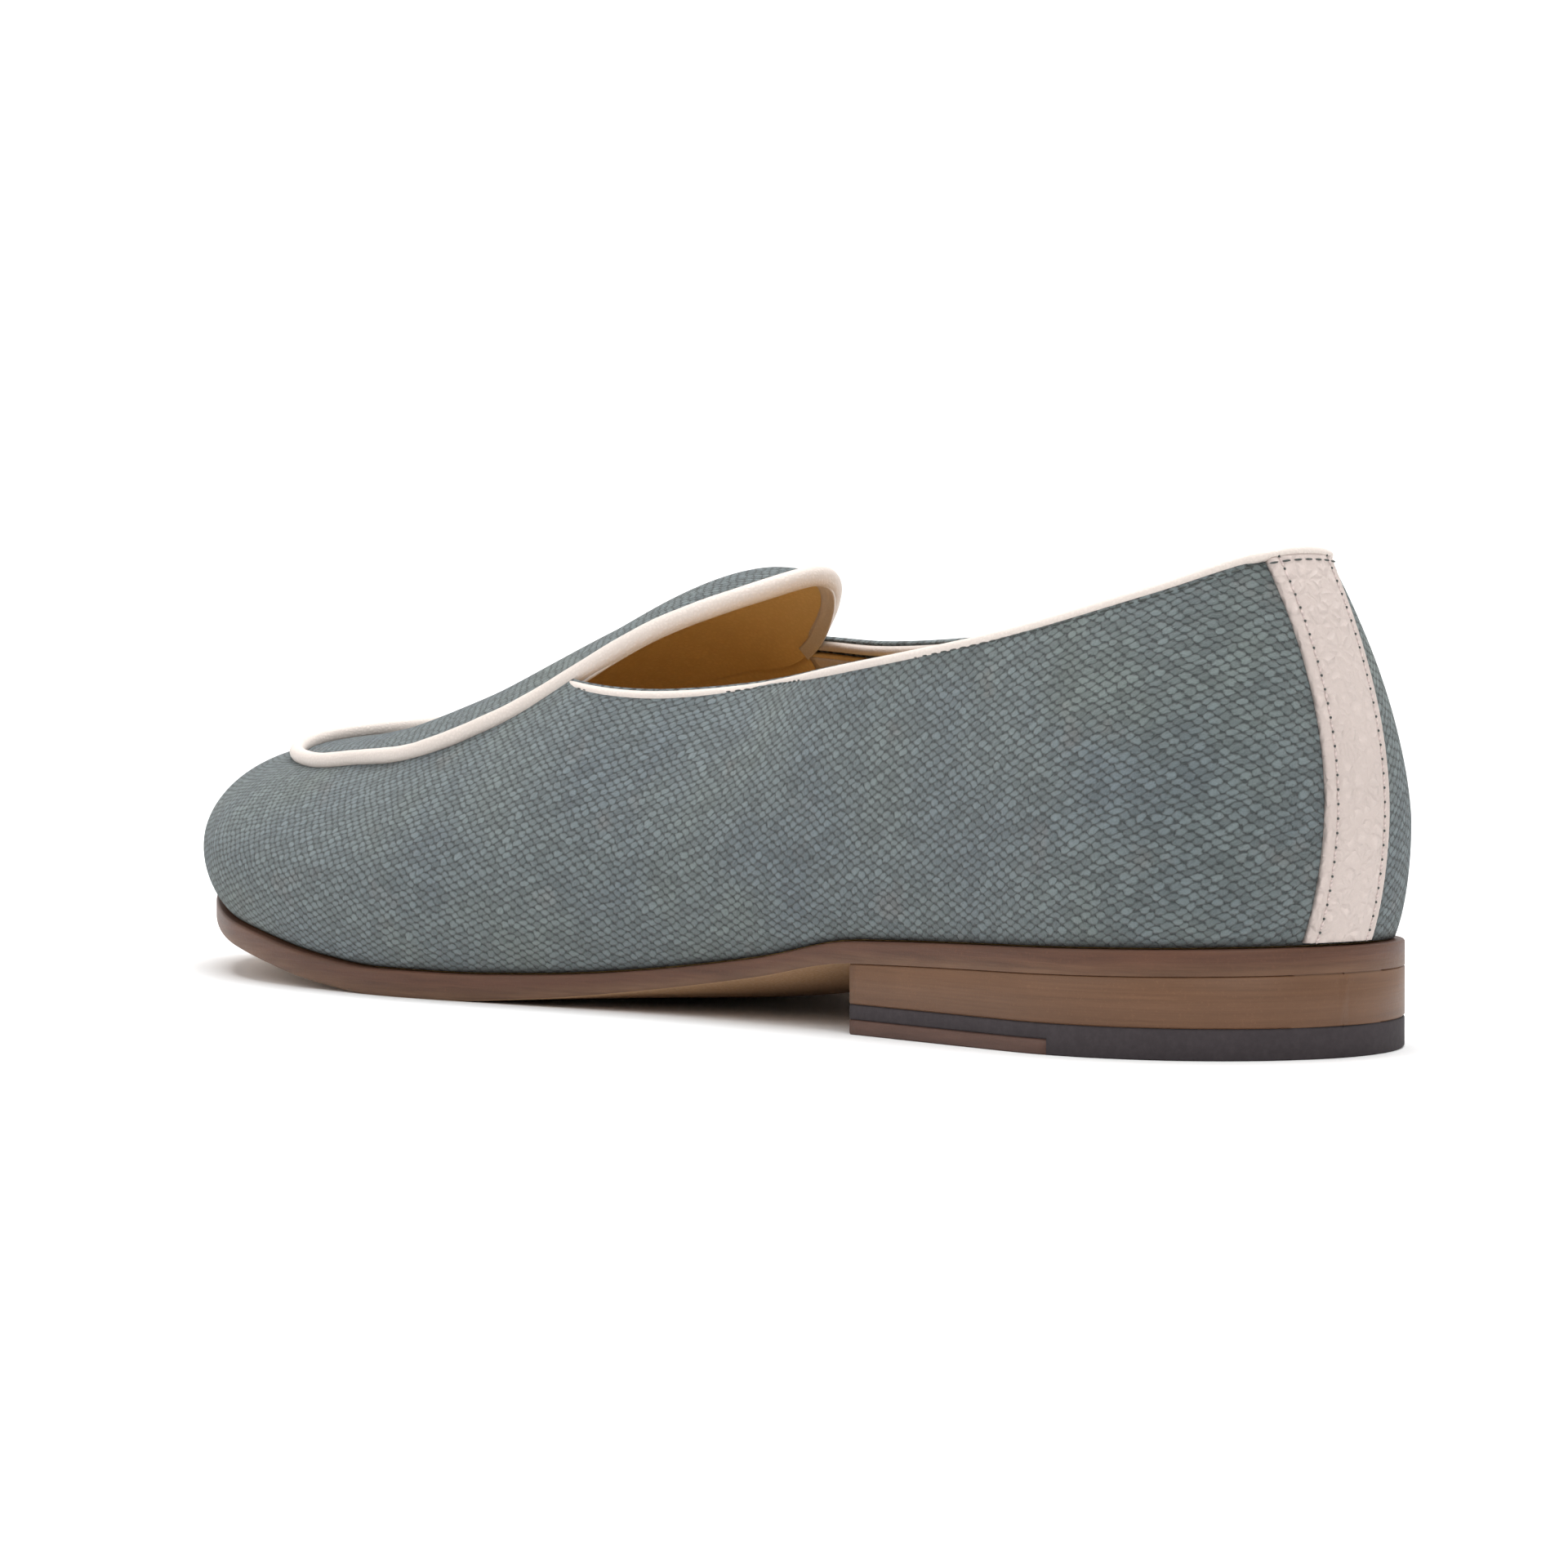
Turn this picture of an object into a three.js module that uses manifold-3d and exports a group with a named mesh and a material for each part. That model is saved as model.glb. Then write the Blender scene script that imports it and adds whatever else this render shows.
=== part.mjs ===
// A Belgian loafer for the left foot: woven cloth with leather piping, on a leather sole and a low heel.
// It stands on the floor at z = 0. The toe points to -Y, the heel to +Y, and +X is the outer side of the foot.
// All lengths are millimetres. "Along" runs from the back of the heel to the toe, and "across" from the foot's
// long axis to its outer side. A side is +1 on the outer side of the foot and -1 on its inner side.

import * as THREE from "three";
import { mergeVertices } from "three/addons/utils/BufferGeometryUtils.js";
import Module from "manifold-3d";

const wasm = await Module();
wasm.setup();

// Sole.
const soleLength = 292;
const ballWidth = 101;
const soleThickness = 4.6;
const toeSpring = 12.7;
const soleBevel = 0.7;
const heelRounding = 40;
const toeRounding = 66;
const heelSquareness = 2.05;
const toeSquareness = 2.25;

// Heel.
const heelLength = 78;
const seatHeight = 12.8;
const breastHeight = 11.2;
const breastHollow = 2.5;
const topPieceThickness = 4.8;
const insertThickness = 2.4;
const insertRear = 31;

// Upper and insole.
const wall = 2;
const featherInset = 1.5;
const toeDepth = 33;
const toeFullness = 2.6;
const tuckAngle = 0.6;
const instepHeight = 73;
const backHeight = 76;
const backLean = 11;
const leanPower = 1.8;
const leanReach = 120;
const insoleThickness = 2.5;

// Apron with its tongue, and the collar. Their places along the foot are set for a sole of 292 and follow its
// length.
const alongScale = soleLength / 292;
const tongueEnd = 133 * alongScale;
const apronEnd = 265 * alongScale;
const apronWidth = 62;
const tongueRounding = 66;
const apronRounding = 42;
const outerJunction = 162 * alongScale;
const innerJunction = 161 * alongScale;

// Piping and back strip.
const tonguePipingRadius = 1.75;
const apronPipingRadius = 1.4;
const tonguePipingDepth = 0.6;
const apronPipingRise = 0.9;
const pipingBlend = 18;
const collarPipingHeight = 1.8;
const collarPipingOverlap = 0.4;
const backStripFoot = 13.5;
const backStripTop = 13;
const backStripThickness = 1.1;
const backStripBow = 2;
const backStripReach = 24;

// The space that curved neighbours keep.
const clearance = 0.3;

// How finely the forms are divided. Each easing gathers the divisions towards the back of the heel.
const upperSteps = 40;
const apronSteps = 26;
const collarSteps = 20;
const collarEasing = 1.8;
const soleSteps = 38;
const insoleSteps = 30;
const heelSteps = 14;
const heelEasing = 1.9;
const backStripSteps = 6;
const apronPipingSides = 9;
const collarPipingSides = 10;
const halvings = 30;
const finest = 0.005;

// The plan of the sole. "at" is a share of soleLength, and "outer" and "inner" are the distances from the
// foot's axis to either edge, as shares of ballWidth.
const solePlan = [
  { at: 0.0, outer: 0.33, inner: 0.33 },
  { at: 0.1, outer: 0.327, inner: 0.327 },
  { at: 0.2, outer: 0.325, inner: 0.317 },
  { at: 0.27, outer: 0.323, inner: 0.292 },
  { at: 0.36, outer: 0.327, inner: 0.255 },
  { at: 0.45, outer: 0.352, inner: 0.245 },
  { at: 0.55, outer: 0.411, inner: 0.32 },
  { at: 0.65, outer: 0.467, inner: 0.45 },
  { at: 0.72, outer: 0.474, inner: 0.495 },
  { at: 0.82, outer: 0.444, inner: 0.48 },
  { at: 0.9, outer: 0.385, inner: 0.436 },
  { at: 1.0, outer: 0.3, inner: 0.35 },
];

// The sole in side view. "lift" is the height of its lower edge: a share of breastHeight behind the ball and
// of toeSpring in front of it. "thick" is a share of soleThickness. "crown" is how far the rounded underside
// hangs below the edge, as a share of the lift.
const ballAt = 0.6;
const soleProfile = [
  { at: 0.0, lift: seatHeight / breastHeight, thick: 0.88, crown: 0.0 },
  { at: 0.267, lift: 1.0, thick: 0.76, crown: 0.16 },
  { at: 0.35, lift: 0.67, thick: 0.7, crown: 0.36 },
  { at: 0.45, lift: 0.32, thick: 0.76, crown: 0.58 },
  { at: 0.53, lift: 0.1, thick: 0.9, crown: 0.6 },
  { at: ballAt, lift: 0.0, thick: 1.0, crown: 0.0 },
  { at: 0.655, lift: 0.0, thick: 1.0, crown: 0.0 },
  { at: 0.71, lift: 0.09, thick: 1.0, crown: 0.0 },
  { at: 0.79, lift: 0.34, thick: 0.97, crown: 0.0 },
  { at: 0.87, lift: 0.59, thick: 0.9, crown: 0.0 },
  { at: 0.93, lift: 0.76, thick: 0.84, crown: 0.0 },
  { at: 1.0, lift: 1.0, thick: 0.8, crown: 0.0 },
];

// The sections of the upper. "at" is a share of soleLength. "outer" and "inner" are how far the widest line
// stands outside the foot of the section, as shares of ballWidth. "waist" is the height of that line above the
// foot and "crest" the height of the crest above the floor, as shares of instepHeight. "peak" moves the crest
// across, as a share of the section's width. "fullOut" and "fullIn" square the shoulders of either side.
const upperSections = [
  { at: 0.0, outer: 0.025, inner: 0.025, waist: 0.25, crest: 1.28, peak: 0.0, fullOut: 1.5, fullIn: 1.5 },
  { at: 0.1, outer: 0.022, inner: 0.022, waist: 0.22, crest: 1.27, peak: -0.01, fullOut: 1.8, fullIn: 1.5 },
  { at: 0.25, outer: 0.035, inner: 0.04, waist: 0.22, crest: 1.19, peak: -0.05, fullOut: 2.2, fullIn: 2.2 },
  { at: 0.4, outer: 0.052, inner: 0.075, waist: 0.25, crest: 0.976, peak: -0.08, fullOut: 1.5, fullIn: 2.25 },
  { at: 0.5, outer: 0.055, inner: 0.075, waist: 0.25, crest: 1.008, peak: -0.133, fullOut: 1.66, fullIn: 1.95 },
  { at: 0.6, outer: 0.05, inner: 0.055, waist: 0.23, crest: 0.909, peak: -0.125, fullOut: 1.55, fullIn: 1.95 },
  { at: 0.7, outer: 0.045, inner: 0.045, waist: 0.2, crest: 0.77, peak: -0.13, fullOut: 1.6, fullIn: 2.05 },
  { at: 0.8, outer: 0.038, inner: 0.04, waist: 0.16, crest: 0.64, peak: -0.13, fullOut: 1.85, fullIn: 2.05 },
  { at: 0.9, outer: 0.04, inner: 0.036, waist: 0.13, crest: 0.58, peak: -0.11, fullOut: 2.1, fullIn: 2.0 },
  { at: 1.0, outer: 0.033, inner: 0.033, waist: 0.1, crest: 0.56, peak: 0.0, fullOut: 2.2, fullIn: 2.2 },
];

// The apron and tongue in plan. "at" runs from tongueEnd to apronEnd, and "outer" and "inner" are the
// distances from the foot's axis to either edge, as shares of apronWidth.
const apronPlan = [
  { at: 0.0, outer: 0.4, inner: 0.43 },
  { at: 0.2, outer: 0.497, inner: 0.49 },
  { at: 0.4, outer: 0.577, inner: 0.485 },
  { at: 0.7, outer: 0.512, inner: 0.42 },
  { at: 1.0, outer: 0.42, inner: 0.29 },
];

// The collar's edge in side view. "at" runs from the back to the junction with the apron, and the heights run
// from 0 at the height of the junction to 1 at backHeight.
const collarProfile = [
  { at: 0.0, outer: 1.0, inner: 1.0 },
  { at: 0.1, outer: 0.73, inner: 0.74 },
  { at: 0.25, outer: 0.455, inner: 0.465 },
  { at: 0.45, outer: 0.23, inner: 0.235 },
  { at: 0.65, outer: 0.054, inner: 0.055 },
  { at: 0.85, outer: -0.068, inner: -0.053 },
  { at: 1.0, outer: 0.0, inner: 0.0 },
];

const mix = THREE.MathUtils.lerp;

// A smooth value from a table's column, with no overshoot between its rows.
function read(table, column, at) {
  const last = table.length - 1;
  const x = THREE.MathUtils.clamp(at, table[0].at, table[last].at);
  const slope = (i) => (table[i + 1][column] - table[i][column]) / (table[i + 1].at - table[i].at);
  const tangent = (i) => {
    if (i === 0) return slope(0);
    if (i === last) return slope(last - 1);
    const product = slope(i - 1) * slope(i);
    return product <= 0 ? 0 : (2 * product) / (slope(i - 1) + slope(i));
  };
  let i = 0;
  while (i < last - 1 && x > table[i + 1].at) i += 1;
  const step = table[i + 1].at - table[i].at;
  const u = (x - table[i].at) / step;
  const lead = step * tangent(i) * u * (1 - u) ** 2;
  const trail = step * tangent(i + 1) * u * u * (1 - u);
  return mix(table[i][column], table[i + 1][column], 3 * u * u - 2 * u ** 3) + lead - trail;
}

// The growth of a rounded end: 0 at the end itself and 1 from "length" on.
function roundedEnd(distance, length, squareness) {
  const left = THREE.MathUtils.clamp(1 - distance / length, 0, 1);
  return (1 - left ** squareness) ** (1 / squareness);
}

// Numbers from 0 to 1 that lie closer together at both ends.
function easedSteps(count) {
  return Array.from({ length: count + 1 }, (_, i) => (1 - Math.cos((Math.PI * i) / count)) / 2);
}

const place = (along, across, height) => new THREE.Vector3(across, -along, height);
const alongOf = (point) => -point.y;

// A point of the sole's outline, moved inwards by "inset". The share runs from 0 at the heel to 1 at the toe.
function outline(share, side, inset) {
  const along = mix(inset, soleLength - inset, share);
  const at = along / soleLength;
  const heel = roundedEnd(along - inset, heelRounding - inset, heelSquareness);
  const toe = roundedEnd(soleLength - inset - along, toeRounding - inset, toeSquareness);
  const outer = read(solePlan, "outer", at) * ballWidth;
  const inner = read(solePlan, "inner", at) * ballWidth;
  const half = (outer + inner) / 2 - inset;
  return { along, across: (outer - inner) / 2 + side * half * heel * toe };
}

function soleBottom(along) {
  const at = along / soleLength;
  return read(soleProfile, "lift", at) * (at < ballAt ? breastHeight : toeSpring);
}

function soleTop(along) {
  return soleBottom(along) + read(soleProfile, "thick", along / soleLength) * soleThickness;
}

// The underside of the sole at "turn" from -1 at its inner edge to 1 at its outer edge.
function soleUnderside(along, turn) {
  const crown = read(soleProfile, "crown", along / soleLength);
  return soleBottom(along) * (1 - crown * (1 - turn * turn));
}

// A point of the upper's outer surface, moved inwards by "inset". The level is 0 at the foot of the section,
// 1 at its widest line and 2 at its crest.
function upperPoint(share, level, side, inset) {
  const foot = outline(share, side, featherInset + inset);
  const swell = (column) => read(upperSections, column, share) * ballWidth;
  const outer = outline(share, 1, featherInset + inset - swell("outer"));
  const inner = outline(share, -1, featherInset + inset - swell("inner"));
  const widest = side > 0 ? outer : inner;
  const footHeight = soleTop(foot.along) + clearance;
  const widestHeight = footHeight + read(upperSections, "waist", share) * instepHeight;
  if (level <= 1) {
    const tuck = mix(tuckAngle, Math.PI / 2, level);
    const out = (Math.sin(tuck) - Math.sin(tuckAngle)) / (1 - Math.sin(tuckAngle));
    const up = 1 - Math.cos(tuck) / Math.cos(tuckAngle);
    return place(
      mix(foot.along, widest.along, out),
      mix(foot.across, widest.across, out),
      mix(footHeight, widestHeight, up),
    );
  }
  const turn = (level - 1) * (Math.PI / 2);
  const power = 2 / read(upperSections, side > 0 ? "fullOut" : "fullIn", share);
  const outward = Math.cos(turn) ** power;
  const upward = Math.sin(turn) ** power;
  const crestAlong = (outer.along + inner.along) / 2;
  const crestAcross = mix(inner.across, outer.across, 0.5 + read(upperSections, "peak", share));
  const rise = read(upperSections, "crest", share) * instepHeight - inset - widestHeight;
  const closing = roundedEnd(soleLength * (1 - share), toeDepth, toeFullness);
  const height = widestHeight + rise * closing * upward;
  const climb = Math.max(0, (height - widestHeight) / (backHeight - widestHeight));
  const lean = backLean * climb ** leanPower * Math.max(0, 1 - (share * soleLength) / leanReach) ** 2;
  return place(
    mix(crestAlong, widest.along, outward) + lean,
    mix(crestAcross, widest.across, outward),
    height,
  );
}

// The point of a section's side where "measure", which grows with the level, reaches its target.
function upperPointWhere(share, side, inset, measure, target) {
  let low = 0;
  let high = 2;
  for (let i = 0; i < halvings; i += 1) {
    const middle = (low + high) / 2;
    if (measure(upperPoint(share, middle, side, inset)) < target) low = middle;
    else high = middle;
  }
  return upperPoint(share, high, side, inset);
}

const heightOf = (point) => point.z;

// The point of the upper's top above a place in plan.
function upperPointAbove(along, across, inset) {
  const share = along / soleLength;
  const side = across >= upperPoint(share, 2, 1, inset).x ? 1 : -1;
  return upperPointWhere(share, side, inset, (point) => -side * point.x, -side * across);
}

// The edge of the apron and tongue. The share runs from the tongue's end to the apron's front.
function apronPoint(share, side, inset) {
  const along = mix(tongueEnd, apronEnd, share);
  const tongue = roundedEnd(along - tongueEnd, tongueRounding, 2);
  const front = roundedEnd(apronEnd - along, apronRounding, 2);
  const outer = read(apronPlan, "outer", share) * apronWidth;
  const inner = read(apronPlan, "inner", share) * apronWidth;
  const across = (outer - inner) / 2 + (side * (outer + inner) * tongue * front) / 2;
  return upperPointAbove(along, across, inset);
}

const junctionAlong = (side) => (side > 0 ? outerJunction : innerJunction);

// The edge of the collar. The share runs from the back of the heel to the junction with the apron.
function collarPoint(share, side, inset) {
  const junctionShare = (junctionAlong(side) - tongueEnd) / (apronEnd - tongueEnd);
  const junctionHeight = apronPoint(junctionShare, side, inset).z;
  const height = mix(junctionHeight, backHeight, read(collarProfile, side > 0 ? "outer" : "inner", share));
  return upperPointWhere((share * junctionAlong(side)) / soleLength, side, inset, heightOf, height);
}

// A surface through rows of points. Rows that are rings join their last point to their first.
function surface(rows, rings) {
  const width = rows[0].length;
  const index = [];
  for (let i = 0; i + 1 < rows.length; i += 1) {
    for (let j = 0; j < (rings ? width : width - 1); j += 1) {
      const next = (j + 1) % width;
      const [a, b] = [i * width + j, i * width + next];
      const [c, d] = [b + width, a + width];
      index.push(a, b, c, a, c, d);
    }
  }
  const geometry = new THREE.BufferGeometry().setFromPoints(rows.flat());
  geometry.setIndex(index);
  return geometry;
}

// A geometry without its normals and texture places, so that its faces can share their corners.
function bare(geometry) {
  return geometry.deleteAttribute("normal").deleteAttribute("uv");
}

// A solid from a closed geometry, with its faces turned outwards.
function solidFrom(geometry) {
  const merged = mergeVertices(geometry, 1e-4);
  const corners = merged.getIndex().array;
  const kept = [];
  for (let i = 0; i < corners.length; i += 3) {
    const [a, b, c] = corners.slice(i, i + 3);
    if (a !== b && b !== c && c !== a) kept.push(a, b, c);
  }
  const vertProperties = merged.getAttribute("position").array;
  const solid = (triVerts) =>
    new wasm.Manifold(new wasm.Mesh({ numProp: 3, vertProperties, triVerts: new Uint32Array(triVerts) }));
  const made = solid(kept);
  return made.volume() > 0 ? made : solid(kept.reverse());
}

// The geometry of a solid, without edges shorter than "finest".
function geometryFrom(solid) {
  const { numVert, numProp, vertProperties, triVerts } = solid.simplify(finest).getMesh();
  const positions = new Float32Array(numVert * 3);
  for (let i = 0; i < numVert; i += 1) {
    positions.set(vertProperties.subarray(i * numProp, i * numProp + 3), i * 3);
  }
  const geometry = new THREE.BufferGeometry();
  geometry.setAttribute("position", new THREE.BufferAttribute(positions, 3));
  geometry.setIndex(new THREE.BufferAttribute(new Uint32Array(triVerts), 1));
  geometry.computeVertexNormals();
  return geometry;
}

// A flat shape of [x, y] points, made thick and laid into the shoe's axes by a matrix.
function prism(points, thickness, matrix) {
  const shape = new THREE.Shape(points.map(([x, y]) => new THREE.Vector2(x, y)));
  const geometry = new THREE.ExtrudeGeometry(shape, { depth: thickness, steps: 1, bevelEnabled: false });
  return solidFrom(mergeVertices(bare(geometry)).applyMatrix4(matrix));
}

// Where the x, y and z of a flat shape's prism go.
function axes(x, y, z) {
  return new THREE.Matrix4().makeBasis(x, y, z);
}

const towardsToe = new THREE.Vector3(0, -1, 0);
const outwards = new THREE.Vector3(1, 0, 0);
const upwards = new THREE.Vector3(0, 0, 1);

// The levels of a section's points between its foot and its crest.
const levels = [0, 0.34, 0.67, 1, 1.1, 1.2, 1.3, 1.4, 1.5, 1.6, 1.7, 1.8, 1.9];

// The closed form of the last with its surface moved inwards by "inset" and its underside lowered by "drop".
function lastForm(inset, drop) {
  const rows = easedSteps(upperSteps).map((share) => {
    const outer = levels.map((level) => upperPoint(share, level, 1, inset));
    const inner = levels.map((level) => upperPoint(share, level, -1, inset)).reverse();
    const ring = [...outer, upperPoint(share, 2, 1, inset), ...inner];
    const lowered = (point) => point.clone().setZ(point.z - drop);
    return drop > 0 ? [lowered(ring[0]), ...ring, lowered(ring[ring.length - 1])] : ring;
  });
  return solidFrom(surface(rows, true));
}

// A cord of oval section along a path of { centre, normal, thick, wide } stations, where "thick" is its half
// size along the normal and "wide" the one along the surface.
function cord(stations, sides, closed) {
  const count = stations.length;
  const rings = stations.map(({ centre, normal, thick, wide }, i) => {
    const before = stations[closed ? (i + count - 1) % count : Math.max(0, i - 1)].centre;
    const after = stations[closed ? (i + 1) % count : Math.min(count - 1, i + 1)].centre;
    const tangent = after.clone().sub(before).normalize();
    const beside = tangent.clone().cross(normal).normalize();
    const up = beside.clone().cross(tangent);
    return Array.from({ length: sides }, (_, k) => {
      const turn = (2 * Math.PI * (k + 0.5)) / sides;
      return centre
        .clone()
        .addScaledVector(up, thick * Math.cos(turn))
        .addScaledVector(beside, wide * Math.sin(turn));
    });
  });
  if (closed) return solidFrom(surface([...rings, rings[0]], true));
  const cap = (i) => rings[i].map(() => stations[i].centre);
  return solidFrom(surface([cap(0), ...rings, cap(count - 1)], true));
}

// The direction out of the upper's surface at a point that a function of the inset gives.
function outwardAt(pointAt) {
  return pointAt(-1).sub(pointAt(1)).normalize();
}

// The piping round the apron and tongue, grown by "extra". It lies on the vamp in front of the collar, and
// wraps the tongue's edge behind it.
function apronPipingSolid(extra) {
  const station = (share, side) => {
    const along = mix(tongueEnd, apronEnd, share);
    const onVamp = THREE.MathUtils.smoothstep(along - junctionAlong(side), -pipingBlend / 2, pipingBlend);
    const radius = mix(tonguePipingRadius, apronPipingRadius, onVamp) + extra;
    return {
      centre: apronPoint(share, side, mix(tonguePipingDepth, -apronPipingRise, onVamp)),
      normal: outwardAt((inset) => apronPoint(share, side, inset)),
      thick: radius,
      wide: radius,
    };
  };
  const steps = easedSteps(apronSteps);
  const outer = steps.map((share) => station(share, 1));
  const inner = steps.slice(1, -1).map((share) => station(share, -1));
  return cord([...outer, ...inner.reverse()], apronPipingSides, true);
}

const collarShares = Array.from({ length: collarSteps + 1 }, (_, i) => (i / collarSteps) ** collarEasing);

// The binding of the collar, grown by "extra".
function collarPipingSolid(extra) {
  const station = (share, side) => ({
    centre: collarPoint(share, side, wall / 2),
    normal: outwardAt((inset) => collarPoint(share, side, inset)).setZ(0).normalize(),
    thick: wall / 2 + collarPipingOverlap + extra,
    wide: collarPipingHeight / 2 + extra,
  });
  const outer = collarShares.map((share) => station(share, 1)).reverse();
  const inner = collarShares.slice(1).map((share) => station(share, -1));
  return cord([...outer, ...inner], collarPipingSides, false);
}

// All that lies above the collar's edge, with the apron and tongue left out of it.
function openingSolid() {
  const reach = 2 * ballWidth;
  const sideCut = (side) => {
    const edge = collarShares.map((share) => collarPoint(share, side, wall / 2));
    const points = edge.map((point) => [alongOf(point), point.z]);
    const [first, last] = [points[0], points[points.length - 1]];
    const corners = [...points, [last[0], reach], [-reach, reach], [-reach, first[1]]];
    return prism(corners, reach, axes(towardsToe, upwards, outwards.clone().multiplyScalar(side)));
  };
  const loop = [
    ...easedSteps(apronSteps).map((share) => apronPoint(share, 1, tonguePipingDepth)),
    ...easedSteps(apronSteps).slice(1, -1).reverse().map((share) => apronPoint(share, -1, tonguePipingDepth)),
  ];
  const plan = loop.map((point) => [alongOf(point), point.x]);
  const tongue = prism(plan, reach, axes(towardsToe, outwards, upwards));
  return sideCut(1).add(sideCut(-1)).subtract(tongue);
}

// The places across the sole and the heel, from the inner edge at -1 to the outer one at 1.
const soleTurns = [-1, -0.6, 0, 0.6, 1];
const heelTurns = [-1, -0.6, -0.2, 0.2, 0.6, 1];

// The sole: flat on top, with bevelled edges and a rounded underside at the waist.
function outsoleSolid() {
  const rows = easedSteps(soleSteps).map((share) => {
    const rim = (side, inset, height) => {
      const { along, across } = outline(share, side, inset);
      return place(along, across, height(along));
    };
    const upperRim = (along) => soleTop(along) - soleBevel;
    const lowerRim = (along) => soleBottom(along) + soleBevel;
    const [inner, outer] = [outline(share, -1, soleBevel), outline(share, 1, soleBevel)];
    const underside = soleTurns.map((turn) => {
      const across = mix(inner.across, outer.across, (turn + 1) / 2);
      return place(inner.along, across, soleUnderside(inner.along, turn));
    });
    return [
      rim(1, 0, lowerRim),
      rim(1, 0, upperRim),
      rim(1, soleBevel / 2, soleTop),
      rim(-1, soleBevel / 2, soleTop),
      rim(-1, 0, upperRim),
      rim(-1, 0, lowerRim),
      ...underside,
    ];
  });
  return solidFrom(surface(rows, true));
}

// A flat-edged layer with the heel's outline, between two heights that may follow the place.
function heelLayer(bottomAt, topAt) {
  const ring = (share, heights) => {
    const end = heelLength / soleLength;
    const [inner, outer] = [outline(share * end, -1, 0), outline(share * end, 1, 0)];
    const points = (heightAt) =>
      heelTurns.map((turn) => {
        const hollow = breastHollow * (1 - turn * turn) * share ** 4;
        const across = mix(inner.across, outer.across, (turn + 1) / 2);
        return place(inner.along - hollow, across, heightAt(inner.along - hollow, turn));
      });
    return [...points(heights[0]), ...points(heights[1]).reverse()];
  };
  const middle = (along, turn) => (bottomAt(along, turn) + topAt(along, turn)) / 2;
  const shares = Array.from({ length: heelSteps + 1 }, (_, i) => (i / heelSteps) ** heelEasing);
  const rows = shares.map((share) => ring(share, [bottomAt, topAt]));
  return solidFrom(surface([...rows, ring(1, [middle, middle])], true));
}

function boxSolid(alongFrom, alongTo, heightTo) {
  const reach = 2 * ballWidth;
  const geometry = new THREE.BoxGeometry(reach, alongTo - alongFrom, heightTo + reach);
  geometry.translate(0, -(alongFrom + alongTo) / 2, (heightTo - reach) / 2);
  return solidFrom(mergeVertices(bare(geometry)));
}

// The insole lies inside the foot of the upper's wall.
function insoleSolid() {
  const inset = featherInset + wall + 2 * clearance;
  const rows = easedSteps(insoleSteps).map((share) => {
    const corner = (side, height) => {
      const { along, across } = outline(share, side, inset);
      return place(along, across, soleTop(along) + clearance + height);
    };
    return [corner(1, 0), corner(1, insoleThickness), corner(-1, insoleThickness), corner(-1, 0)];
  });
  return solidFrom(surface(rows, true));
}

// The strip over the back seam, cut between two larger forms of the upper. It bows a little to the inner side.
function backStripSolid(collarSpace, soleSpace, opening) {
  const shell = lastForm(-clearance - backStripThickness, 0).subtract(lastForm(-clearance, soleThickness));
  const edgePoint = (share, side) => {
    const middle = -backStripBow * Math.sin(Math.PI * share);
    return [middle + (side * mix(backStripFoot, backStripTop, share)) / 2, share * backHeight];
  };
  const shares = Array.from({ length: backStripSteps + 1 }, (_, i) => i / backStripSteps);
  const outer = shares.map((share) => edgePoint(share, 1));
  const inner = shares.map((share) => edgePoint(share, -1)).reverse();
  const window = prism([...outer, ...inner], 2 * backStripReach, axes(outwards, upwards, towardsToe));
  const behind = window.translate(0, backStripReach, 0);
  return shell.intersect(behind).subtract(collarSpace).subtract(soleSpace).subtract(opening);
}

const outsole = outsoleSolid();
const opening = openingSolid();
const apronPiping = apronPipingSolid(0);
const apronSpace = apronPipingSolid(clearance);
const collarSpace = collarPipingSolid(clearance);
const collarPiping = collarPipingSolid(0).subtract(apronSpace);
const cavity = lastForm(wall, soleThickness);
const upper = lastForm(0, 0).subtract(cavity).subtract(opening).subtract(apronSpace).subtract(collarSpace);
const backStrip = backStripSolid(collarSpace, outsole.translate(0, 0, clearance), opening);
const floorLevel = () => 0;
const topPieceLevel = () => topPieceThickness;
const heelStack = heelLayer(topPieceLevel, (along, turn) => soleUnderside(along, turn) - clearance);
const topPiece = heelLayer(floorLevel, topPieceLevel);
const insertSpace = boxSolid(insertRear, soleLength, insertThickness);

const finishes = {
  cloth: new THREE.MeshStandardMaterial({ color: 0x6f8383, roughness: 0.95, metalness: 0 }),
  piping: new THREE.MeshStandardMaterial({ color: 0xe2d6cf, roughness: 0.6, metalness: 0 }),
  lining: new THREE.MeshStandardMaterial({ color: 0xb08a4c, roughness: 0.65, metalness: 0 }),
  sole: new THREE.MeshStandardMaterial({ color: 0x6b4637, roughness: 0.5, metalness: 0 }),
  stack: new THREE.MeshStandardMaterial({ color: 0x7d5f45, roughness: 0.5, metalness: 0 }),
  rubber: new THREE.MeshStandardMaterial({ color: 0x453a3e, roughness: 0.8, metalness: 0 }),
};

const pieces = [
  ["upper", upper, finishes.cloth],
  ["apron_piping", apronPiping, finishes.piping],
  ["collar_piping", collarPiping, finishes.piping],
  ["back_strip", backStrip, finishes.piping],
  ["insole", insoleSolid(), finishes.lining],
  ["outsole", outsole, finishes.sole],
  ["heel_stack", heelStack, finishes.stack],
  ["top_piece", topPiece.subtract(insertSpace), finishes.rubber],
  ["top_piece_insert", topPiece.intersect(insertSpace), finishes.sole],
];

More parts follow.
